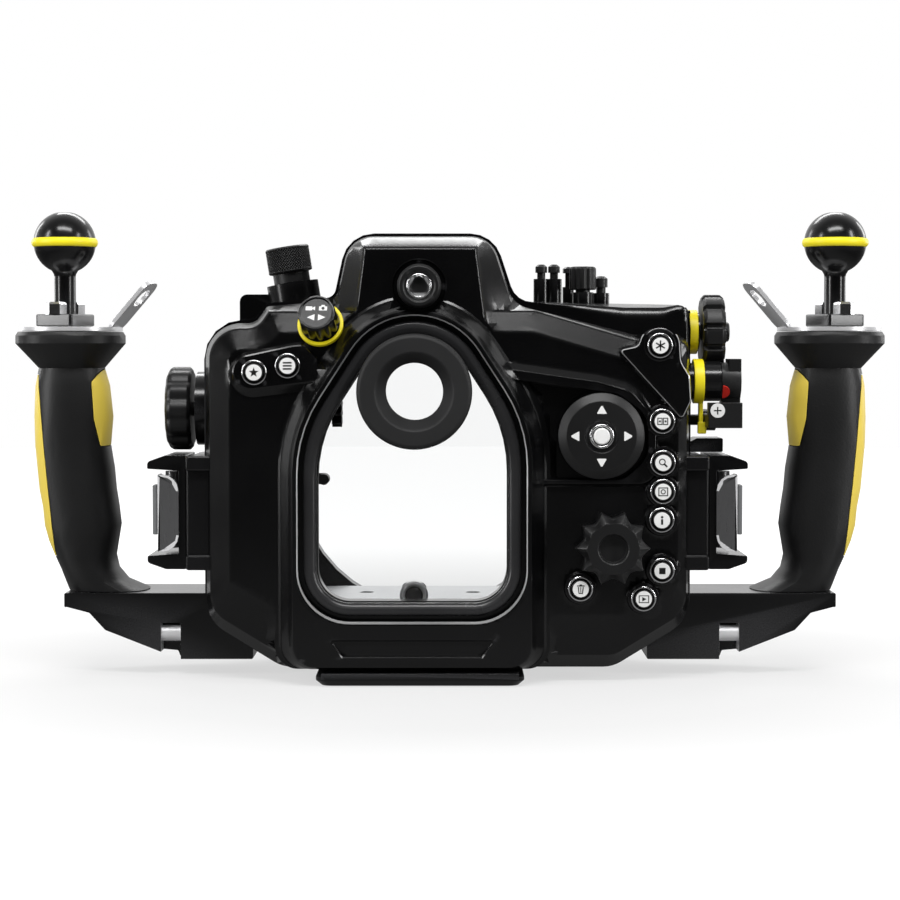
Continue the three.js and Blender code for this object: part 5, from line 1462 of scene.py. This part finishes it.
class HOUSING_OT_mode_knob(bpy.types.Operator):
    """Builds the leaning mode knob with its diamond knurl."""

    bl_idname = "housing.mode_knob"
    bl_label = "Mode knob"

    def execute(self, context):
        k = MODE_KNOB
        depth = context.scene.housing_sizes.knurl / MM
        aim = Vector((-math.sin(k["lean"]), 0, math.cos(k["lean"])))
        base = k["neck_length"]
        top = base + k["height"]

        def knurl(reach, along, turn):
            if reach < k["radius"] - 0.4 or not base + 0.9 < along < top - 0.9:
                return reach
            first = math.sin(k["ridges"] * turn + along * 2.7)
            second = math.sin(k["ridges"] * turn - along * 2.7)
            return reach - depth * (1 - abs(first)) - depth * (1 - abs(second))

        full = k["radius"]
        neck = k["neck"]
        rows = [base + 1 + (k["height"] - 2) * i / 44 for i in range(45)]
        end = -k["stem_length"]
        body = [(0, end), (k["stem"], end), (k["stem"], 0), (neck, 0), (neck, base - 0.2),
                (full - 1, base), (full - 0.3, base + 0.2), (full, base + 0.7)]
        body += [(full, row) for row in rows]
        body += [(full, top - 0.7), (full - 0.5, top - 0.1), (full - 0.9, top), (0, top + 0.15)]
        shape = Shape()
        spin(shape, body, k["place"], aim, 336, radius_at=knurl)
        piece("mode_knob_knurled", shape, ["black_plastic"], ["mode_knob"], sharp=math.radians(50))
        return {"FINISHED"}


class HOUSING_OT_left_dial(bpy.types.Operator):
    """Builds the lobed dial on the left and the toothed wheel on its inner end."""

    bl_idname = "housing.left_dial"
    bl_label = "Left dial"

    def execute(self, context):
        d = LEFT_DIAL
        place = Vector((0, d["y"], d["z"]))
        outer = -d["outer"]
        back = outer - d["width"]
        rim = lobes(d["lobes"], d["radius"], d["valley"], 0.6)
        full = d["radius"]
        body = [(0, 44.6), (3, 44.6), (3, back), (15.6, back), (full, back + 1.2), (full, outer - 2.4),
                (16.2, outer - 1), (14.8, outer - 0.2), (14, outer), (9, outer), (8, outer - 1.2),
                (0, outer - 1.2)]
        shape = Shape()
        spin(shape, soften(body, 0.4, 3), place, LEFT, 144,
             radius_at=lambda r, along, turn: rim(r, along, turn) if r > 13.5 else r)
        piece("zoom_dial_wheel", shape, ["black_plastic"], ["left_dial"])
        refined("zoom_gear", ["black_plastic"], 0.0002)
        return {"FINISHED"}


class HOUSING_OT_main_dial(bpy.types.Operator):
    """Builds the toothed main dial on the right and its yellow ring."""

    bl_idname = "housing.main_dial"
    bl_label = "Main dial"

    def execute(self, context):
        d = MAIN_DIAL
        place = Vector((0, d["y"], d["z"]))
        inner = d["inner"]
        outer = inner + d["width"]

        def teeth(reach, along, turn):
            if reach < 12:
                return reach
            beat = (turn * d["teeth"] / FULL_TURN) % 1
            off = min(beat, 1 - beat) / 0.16
            return reach - d["tooth"] * math.sqrt(max(0, 1 - off ** 4))

        full = d["radius"]
        body = [(0, 82), (3, 82), (3, inner), (13.8, inner), (full, inner + 1.3), (full, outer - 1.5),
                (13.9, outer), (9, outer), (8.4, outer - 0.8), (4.2, outer - 0.8), (4, outer + 2),
                (3.5, outer + 2.6), (0, outer + 2.6)]
        shape = Shape()
        spin(shape, soften(body, 0.35, 3), place, RIGHT, 176, radius_at=teeth)
        piece("main_dial_wheel", shape, ["black_plastic"], ["main_dial"], sharp=math.radians(50))
        ring = Shape()
        profile = soften([(7.9, 97.3), (9, 97.3), (9, 100.9), (7.9, 100.9)], 0.3, 3, True)
        spin(ring, profile, place, RIGHT, 80)
        piece("main_dial_band", ring, ["yellow_plastic"], ["main_dial_ring"])
        return {"FINISHED"}


class HOUSING_OT_levers(bpy.types.Operator):
    """Rounds the record and focus levers and lays their plain labels on them."""

    bl_idname = "housing.levers"
    bl_label = "Levers"

    def execute(self, context):
        refined("lever_ring", ["yellow_plastic"], 0.0003)
        foot = Shape()
        side = LEVERS["foot_side"]
        end = LEVERS["foot_end"]
        corners = [(-side, -end, 0.5), (side, -end, 0.5), (side, end, 0.5), (-side, end, 0.5)]
        slab(foot, corners, -0.5, 2.2, LEVERS["foot"], REAR, 0.35, 0, math.pi / 2)
        piece("lever_ring_foot", foot, ["yellow_plastic"], [], body=frame["nodes"]["lever_ring"]["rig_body"])
        refined("record_lever", ["black_plastic"], 0.0013, 4)
        refined("focus_lever", ["black_plastic"], 0.0019, 4)
        turns = [math.pi * (k / 16 - 0.5) for k in range(17)]
        radius = LEVERS["label"]
        half = [(radius * math.cos(a), radius * math.sin(a)) for a in turns]
        red = Shape()
        add_sign(red, [half], 1, LEVERS["record"], LEVERS["record_out"], LEVERS["record_height"], 0, 0.25)
        piece("record_label", red, ["red_label"], [], body=frame["nodes"]["record_lever"]["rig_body"])
        white = Shape()
        place = LEVERS["focus"]
        spin(white, soften([(0, -0.4), (radius, -0.4), (radius, 0.3), (0, 0.35)], 0.1), place, REAR, 48)
        cross = [bar(-1.5, 1.5, -0.25, 0.25), bar(-0.25, 0.25, -1.5, 1.5)]
        add_sign(white, cross, 1, place, REAR, 0.35, 1, 0.05)
        body = frame["nodes"]["focus_lever"]["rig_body"]
        piece("focus_label", white, ["white_plastic", "sign_black"], [], body=body)
        return {"FINISHED"}


class HOUSING_OT_top_controls(bpy.types.Operator):
    """Rounds the buttons on the right shoulder and builds the ribbed dial beside them."""

    bl_idname = "housing.top_controls"
    bl_label = "Top controls"

    def execute(self, context):
        for node in ("slim_button_left", "slim_button_right", "wide_button"):
            refined(node, ["black_plastic"], 0.0004, 3)
        d = TOP_DIAL
        end = d["end"]
        low = d["low"]
        high = d["high"]
        full = d["radius"]
        rim = lobes(d["lobes"], full, d["valley"], 0.8)
        body = [(0, end), (d["stem"], end), (d["stem"], low), (5.1, low), (full, 157), (full, 165.4),
                (4.9, 166.1), (4.5, high), (0, high)]
        shape = Shape()
        spin(shape, soften(body, 0.25, 3), Vector((d["x"], d["y"], 0)), UP, 96,
             radius_at=lambda r, along, turn: rim(r, along, turn) if r > 4.4 else r)
        piece("top_dial_ribbed", shape, ["black_plastic"], ["top_dial"])
        return {"FINISHED"}


def carry(node, name):
    """Gives a part's own object its finish."""
    for slot in frame["nodes"][node].material_slots:
        slot.material = finish_named(name)


def tray_knob():
    """The bright ring of the tray's locking knob round its dark dome."""
    k = TRAY_KNOB
    place = Vector((k["x"], 0, k["z"]))
    low = k["seat"]
    high = low + k["depth"]
    shape = Shape()
    end = low - k["screw_length"]
    edge = k["rim"] + 0.1
    dome = [(0, end), (k["screw"], end), (k["screw"], low), (edge, low), (edge, high - 1.6),
            (k["rim"] - 0.8, high - 0.6), (1.2, high), (0, high)]
    spin(shape, soften(dome, 0.8, 4), place, REAR, 56, finish=1)
    ring = [(k["rim"], low), (k["radius"], low), (k["radius"], high - 0.8), (k["radius"] - 0.8, high),
            (k["rim"] + 0.6, high), (k["rim"], high - 0.8)]
    spin(shape, soften(ring, 0.3, 3, True), place, REAR, 56)
    piece("tray_knob_turned", shape, ["bolt_steel", "grip_plastic"], ["tray_knob"])


class HOUSING_OT_shell(bpy.types.Operator):
    """Rounds the edges of the front shell and of what is joined to it."""

    bl_idname = "housing.shell"
    bl_label = "Front shell"

    def execute(self, context):
        refined("front_shell", ["black_anodised"], 0.0006, 3, reshape=round_shoulder)
        refined("port_ring", ["black_anodised"], 0.0004)
        refined("base_foot", ["black_anodised"], 0.0005, 3)
        refined("lens_release", ["black_plastic"], 0.0003)
        refined("camera_tray", ["steel"], 0.0003)
        tray_knob()
        carry("door_seal", "yellow_plastic")
        return {"FINISHED"}


def plate_rim(work):
    """Gives the border of a latch lever's plate the second finish, a painted highlight, apart from its
    straight inner edge.
    """
    p = LATCH

    def on_plate(face):
        return abs(face.calc_center_median().y / MM - p["plate_rear"]) < 0.02

    rear = [face for face in work.faces if on_plate(face)]
    width = p["plate_border"] * MM
    border = bmesh.ops.inset_region(work, faces=rear, thickness=width, use_even_offset=True)
    for face in border["faces"]:
        middle = face.calc_center_median() / MM
        inner = abs(middle.x - CENTRE) < p["plate_inner"] + p["plate_border"]
        straight = abs(middle.z - p["plate_middle"]) < p["plate_straight"]
        face.material_index = int(not (inner and straight))


class HOUSING_OT_latches(bpy.types.Operator):
    """Rounds the edges of the latches and marks the border of their plates with a painted highlight."""

    bl_idname = "housing.latches"
    bl_label = "Latches"

    def execute(self, context):
        for side in ("left", "right"):
            refined("latch_block_" + side, ["black_anodised"], 0.0005, 3)
            # The second finish on the plates' border is a painted highlight.
            refined("latch_lever_" + side, ["latch_steel", "bolt_steel"], 0.0007, 4, reshape=plate_rim)
            refined("latch_tab_" + side, ["grey"], 0.0004, 2)
        return {"FINISHED"}


def bolt_of_bracket(middle):
    """The second finish for the faces of the bracket's bolt head."""
    b = BOLT
    across = Vector((middle.y - b["y"], middle.z - b["z"])).length
    return int(b["inner"] - 0.2 < abs(middle.x) < b["outer"] + 0.2 and across < b["radius"] + 0.3)


class HOUSING_OT_grips(bpy.types.Operator):
    """Rounds the brackets, handles and their pads."""

    bl_idname = "housing.grips"
    bl_label = "Grips"

    def execute(self, context):
        for side in ("left", "right"):
            refined("bracket_" + side, ["black_anodised", "bolt_steel"], 0.0006, 3, choose=bolt_of_bracket)
            refined("grip_" + side, ["grip_plastic"], 0.0006, 3)
            refined("outer_pad_" + side, ["yellow_pad"], 0.0005, 3)
            refined("inner_pad_" + side, ["yellow_pad"], 0.0005, 3)
        return {"FINISHED"}


def mount_foot(shape, place, turn):
    """The slab under a ball."""
    m = MOUNT
    half = m["base"] / 2
    corners = [(-half, -half, 1.2), (half, -half, 1.2), (half, half, 1.2), (-half, half, 1.2)]
    slab(shape, corners, 0, m["height"], place, UP, 0.6, 0, turn)


def hexagon_screw(shape, place):
    """A hexagon screw head with a chamfer and a socket in its top."""
    m = MOUNT
    low = m["height"] - 0.1
    top = m["height"] + 5
    outside = [(low, m["screw"]), (top - 0.9, m["screw"]), (top, m["screw"] - 0.9)]
    inside = [(top, 2.0), (top - 2.4, 1.9)]
    rings = []
    for along, radius in outside + inside:
        turns = [FULL_TURN * k / 6 for k in range(6)]
        rings.append([place + Vector((radius * math.cos(a), radius * math.sin(a), along)) for a in turns])
    loft(shape, rings, 1)


def ball_profile(base):
    """The stem and the ball as a profile, with a flat top and the O-ring's groove."""
    m = MOUNT
    middle = m["middle"]
    line = [(0, base), (m["stem"], base), (m["stem"], middle - 14.2), (m["stem"] + 0.15, middle - 12.9)]

    def on_ball(degrees):
        angle = math.radians(degrees)
        return (m["ball"] * math.cos(angle), middle + m["ball"] * math.sin(angle))

    line += [on_ball(a) for a in range(-65, -9, 7)]
    line += [on_ball(-8.5), (11.0, middle - 1.9), (11.0, middle + 1.9), on_ball(8.5)]
    line += [on_ball(a) for a in range(15, 73, 7)]
    return line + [(3.1, middle + 12.25), (0, middle + 12.25)]


class HOUSING_OT_ball_mounts(bpy.types.Operator):
    """Rounds the top plates and builds the ball mounts on the handles."""

    bl_idname = "housing.ball_mounts"
    bl_label = "Ball mounts"

    def execute(self, context):
        m = MOUNT
        thick = 1.45
        high = 1.9
        for side, sign in (("left", -1), ("right", 1)):
            refined("top_plate_" + side, ["plate_steel"], 0.0003, 3)
            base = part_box("ball_mount_" + side)[0][2] / MM
            place = Vector((sign * m["axis"], m["y"], base))
            shape = Shape()
            mount_foot(shape, place, sign * m["turn"])
            for far in (1, -1):
                angle = m["angle"]
                offset = Vector((sign * far * math.cos(angle), far * math.sin(angle), 0)) * m["offset"]
                hexagon_screw(shape, place + offset)
            spin(shape, ball_profile(base + 3), Vector((place.x, place.y, 0)), UP, 72)
            finishes = ["black_anodised", "silver"]
            piece("ball_mount_" + side + "_turned", shape, finishes, ["ball_mount_" + side])
            ring = Shape()
            turns = [FULL_TURN * k / 16 for k in range(16)]
            profile = [(m["ring"] + thick * math.cos(a), m["middle"] + high * math.sin(a)) for a in turns]
            spin(ring, profile, Vector((place.x, place.y, 0)), UP, 72)
            piece("ball_ring_" + side + "_round", ring, ["yellow_plastic"], ["ball_ring_" + side])
        return {"FINISHED"}


class HOUSING_OT_studio(bpy.types.Operator):
    """Builds the floor, the lights, the world and the camera."""

    bl_idname = "housing.studio"
    bl_label = "Studio"

    def execute(self, context):
        make_camera(context)
        make_floor()
        make_world(context.scene)
        make_lights(context.scene.housing_studio.light)
        context.scene.view_settings.view_transform = "Standard"
        return {"FINISHED"}


def make_camera(context):
    """The camera at the photograph's angle."""
    studio = context.scene.housing_studio
    target = Vector((0, 0, 0.0908))
    tilt = studio.elevation
    data = bpy.data.cameras.new("View from behind")
    data.lens = studio.lens
    camera = bpy.data.objects.new("View from behind", data)
    camera.location = target + studio.distance * Vector((0, -math.cos(tilt), math.sin(tilt)))
    camera.rotation_euler = (math.pi / 2 - tilt, 0, 0)
    context.scene.collection.objects.link(camera)
    context.scene.camera = camera


def make_floor():
    """A pale round floor that keeps the housing's shadow."""
    mesh = bpy.data.meshes.new("Floor")
    work = bmesh.new()
    bmesh.ops.create_circle(work, cap_ends=True, radius=2.2, segments=96)
    work.to_mesh(mesh)
    work.free()
    floor = bpy.data.objects.new("Floor", mesh)
    floor.location = (0, 0, -0.0002)
    bpy.context.scene.collection.objects.link(floor)
    material = bpy.data.materials.new("Pale floor")
    material.use_nodes = True
    tree = material.node_tree
    shader = tree.nodes["Principled BSDF"]
    shader.inputs["Roughness"].default_value = 0.9
    shader.inputs["Specular IOR Level"].default_value = 0.1
    path = node_of(tree, "ShaderNodeLightPath")
    tree.links.new(carried(tree, path.outputs["Is Glossy Ray"], 0.24, 0.04), shader.inputs["Base Color"])
    place = node_of(tree, "ShaderNodeTexCoord")
    length = node_of(tree, "ShaderNodeVectorMath", operation="LENGTH")
    tree.links.new(place.outputs["Object"], length.inputs[0])
    reach = carried(tree, length.outputs["Value"], 0.62, 1, 0.15, 0.6)
    near = carried(tree, length.outputs["Value"], 0.3, 0.02, 0.2, 0.4)
    power = joined(tree, "MULTIPLY", reach, seen_directly(tree, near))
    shader.inputs["Emission Color"].default_value = (1, 1, 1, 1)
    tree.links.new(power, shader.inputs["Emission Strength"])
    mesh.materials.append(material)


def unbounced(tree, path):
    """1 for what is seen straight through glass, without a bounce before it."""
    bounces = joined(tree, "ADD", path.outputs["Diffuse Depth"], path.outputs["Glossy Depth"])
    none = node_of(tree, "ShaderNodeMath", operation="LESS_THAN")
    none.inputs[1].default_value = 0.5
    tree.links.new(bounces, none.inputs[0])
    return joined(tree, "MULTIPLY", path.outputs["Is Transmission Ray"], none.outputs["Value"])


def seen_directly(tree, near_gloss):
    """1 for what the camera sees, also in metal and through glass."""
    path = node_of(tree, "ShaderNodeLightPath")
    first = joined(tree, "MAXIMUM", path.outputs["Is Camera Ray"], unbounced(tree, path))
    glossy = joined(tree, "MULTIPLY", path.outputs["Is Glossy Ray"], near_gloss)
    return joined(tree, "MAXIMUM", first, glossy)


def make_world(scene):
    """A white background; gloss sees it behind the housing and a dim room in front of it."""
    world = bpy.data.worlds.new("Studio")
    scene.world = world
    world.use_nodes = True
    tree = world.node_tree
    tree.nodes.clear()
    output = node_of(tree, "ShaderNodeOutputWorld")
    soft = node_of(tree, "ShaderNodeBackground")
    soft.inputs["Color"].default_value = (1, 1, 1, 1)
    soft.inputs["Strength"].default_value = 0.5
    room = node_of(tree, "ShaderNodeBackground")
    white = node_of(tree, "ShaderNodeBackground")
    white.inputs["Color"].default_value = (1, 1, 1, 1)
    place = node_of(tree, "ShaderNodeTexCoord")
    split = node_of(tree, "ShaderNodeSeparateXYZ")
    tree.links.new(place.outputs["Generated"], split.inputs["Vector"])
    ahead = carried(tree, split.outputs["Y"], 0, 1, -1, 1)
    ramp = node_of(tree, "ShaderNodeValToRGB")
    steps = ramp.color_ramp
    levels = [(0.0, 0.0), (0.14, 0.01), (0.3, 0.16), (0.5, 0.3), (0.8, 0.9)]
    while len(steps.elements) < len(levels):
        steps.elements.new(0.5)
    for element, (position, value) in zip(steps.elements, levels):
        element.position = position
        element.color = (value, value, value, 1)
    tree.links.new(ahead, ramp.inputs["Fac"])
    tree.links.new(ramp.outputs["Color"], room.inputs["Color"])
    path = node_of(tree, "ShaderNodeLightPath")
    gloss = node_of(tree, "ShaderNodeMixShader")
    tree.links.new(path.outputs["Is Glossy Ray"], gloss.inputs["Fac"])
    tree.links.new(soft.outputs["Background"], gloss.inputs[1])
    tree.links.new(room.outputs["Background"], gloss.inputs[2])
    direct = joined(tree, "MAXIMUM", path.outputs["Is Camera Ray"], unbounced(tree, path))
    final = node_of(tree, "ShaderNodeMixShader")
    tree.links.new(direct, final.inputs["Fac"])
    tree.links.new(gloss.outputs["Shader"], final.inputs[1])
    tree.links.new(white.outputs["Background"], final.inputs[2])
    tree.links.new(final.outputs["Shader"], output.inputs["Surface"])


def make_lights(factor):
    """Softboxes above and beside the housing, behind it and in front of it."""
    boxes = [
        ("Top rear", (0.0, -0.75, 1.15), (1.0, 0.2), 17),
        ("Left rear", (-1.15, -0.55, 0.45), (0.16, 0.9), 15),
        ("Right rear", (1.15, -0.6, 0.5), (0.16, 0.9), 15),
        ("Top front", (0.0, 0.9, 1.0), (1.0, 0.2), 10),
        ("Left front", (-1.1, 0.9, 0.5), (0.2, 0.8), 7),
        ("Right front", (1.1, 0.9, 0.5), (0.2, 0.8), 7),
    ]
    for name, place, (wide, tall), radiance in boxes:
        data = bpy.data.lights.new(name, "AREA")
        data.shape = "RECTANGLE"
        data.size = wide
        data.size_y = tall
        data.energy = radiance * math.pi * wide * tall * factor
        lamp = bpy.data.objects.new(name, data)
        lamp.location = place
        lamp.rotation_euler = (Vector((0, 0, 0.09)) - Vector(place)).to_track_quat("-Z", "Y").to_euler()
        bpy.context.scene.collection.objects.link(lamp)


class HOUSING_PT_panel(bpy.types.Panel):
    """Lists the steps that build the housing."""

    bl_idname = "HOUSING_PT_panel"
    bl_label = "Underwater housing"
    bl_space_type = "VIEW_3D"
    bl_region_type = "UI"
    bl_category = "Housing"

    def draw(self, context):
        for group in ("housing_colours", "housing_sizes", "housing_studio"):
            values = getattr(context.scene, group)
            for key in values.bl_rna.properties.keys():
                if key not in ("rna_type", "name"):
                    self.layout.prop(values, key)
        for step in STEPS:
            self.layout.operator(step.bl_idname)


STEPS = (
    HOUSING_OT_finishes,
    HOUSING_OT_studio,
    HOUSING_OT_rear_door,
    HOUSING_OT_window,
    HOUSING_OT_eyepiece,
    HOUSING_OT_port_plug,
    HOUSING_OT_push_buttons,
    HOUSING_OT_four_way_pad,
    HOUSING_OT_rear_dial,
    HOUSING_OT_view_knob,
    HOUSING_OT_mode_knob,
    HOUSING_OT_left_dial,
    HOUSING_OT_main_dial,
    HOUSING_OT_levers,
    HOUSING_OT_top_controls,
    HOUSING_OT_shell,
    HOUSING_OT_latches,
    HOUSING_OT_grips,
    HOUSING_OT_ball_mounts,
)
GROUPS = {
    "housing_colours": HousingColours,
    "housing_sizes": HousingSizes,
    "housing_studio": HousingStudio,
}


def register():
    """Adds the groups of values, the steps and the panel."""
    for group in GROUPS.values():
        bpy.utils.register_class(group)
    for key, group in GROUPS.items():
        setattr(bpy.types.Scene, key, bpy.props.PointerProperty(type=group))
    for step in STEPS:
        bpy.utils.register_class(step)
    bpy.utils.register_class(HOUSING_PT_panel)


def unregister():
    """Removes what register adds."""
    bpy.utils.unregister_class(HOUSING_PT_panel)
    for step in reversed(STEPS):
        bpy.utils.unregister_class(step)
    for key in GROUPS:
        delattr(bpy.types.Scene, key)
    for group in reversed(list(GROUPS.values())):
        bpy.utils.unregister_class(group)


def main():
    """Builds every piece in order."""
    register()
    for step in STEPS:
        family, name = step.bl_idname.split(".")
        getattr(getattr(bpy.ops, family), name)()


if __name__ == "__main__":
    main()
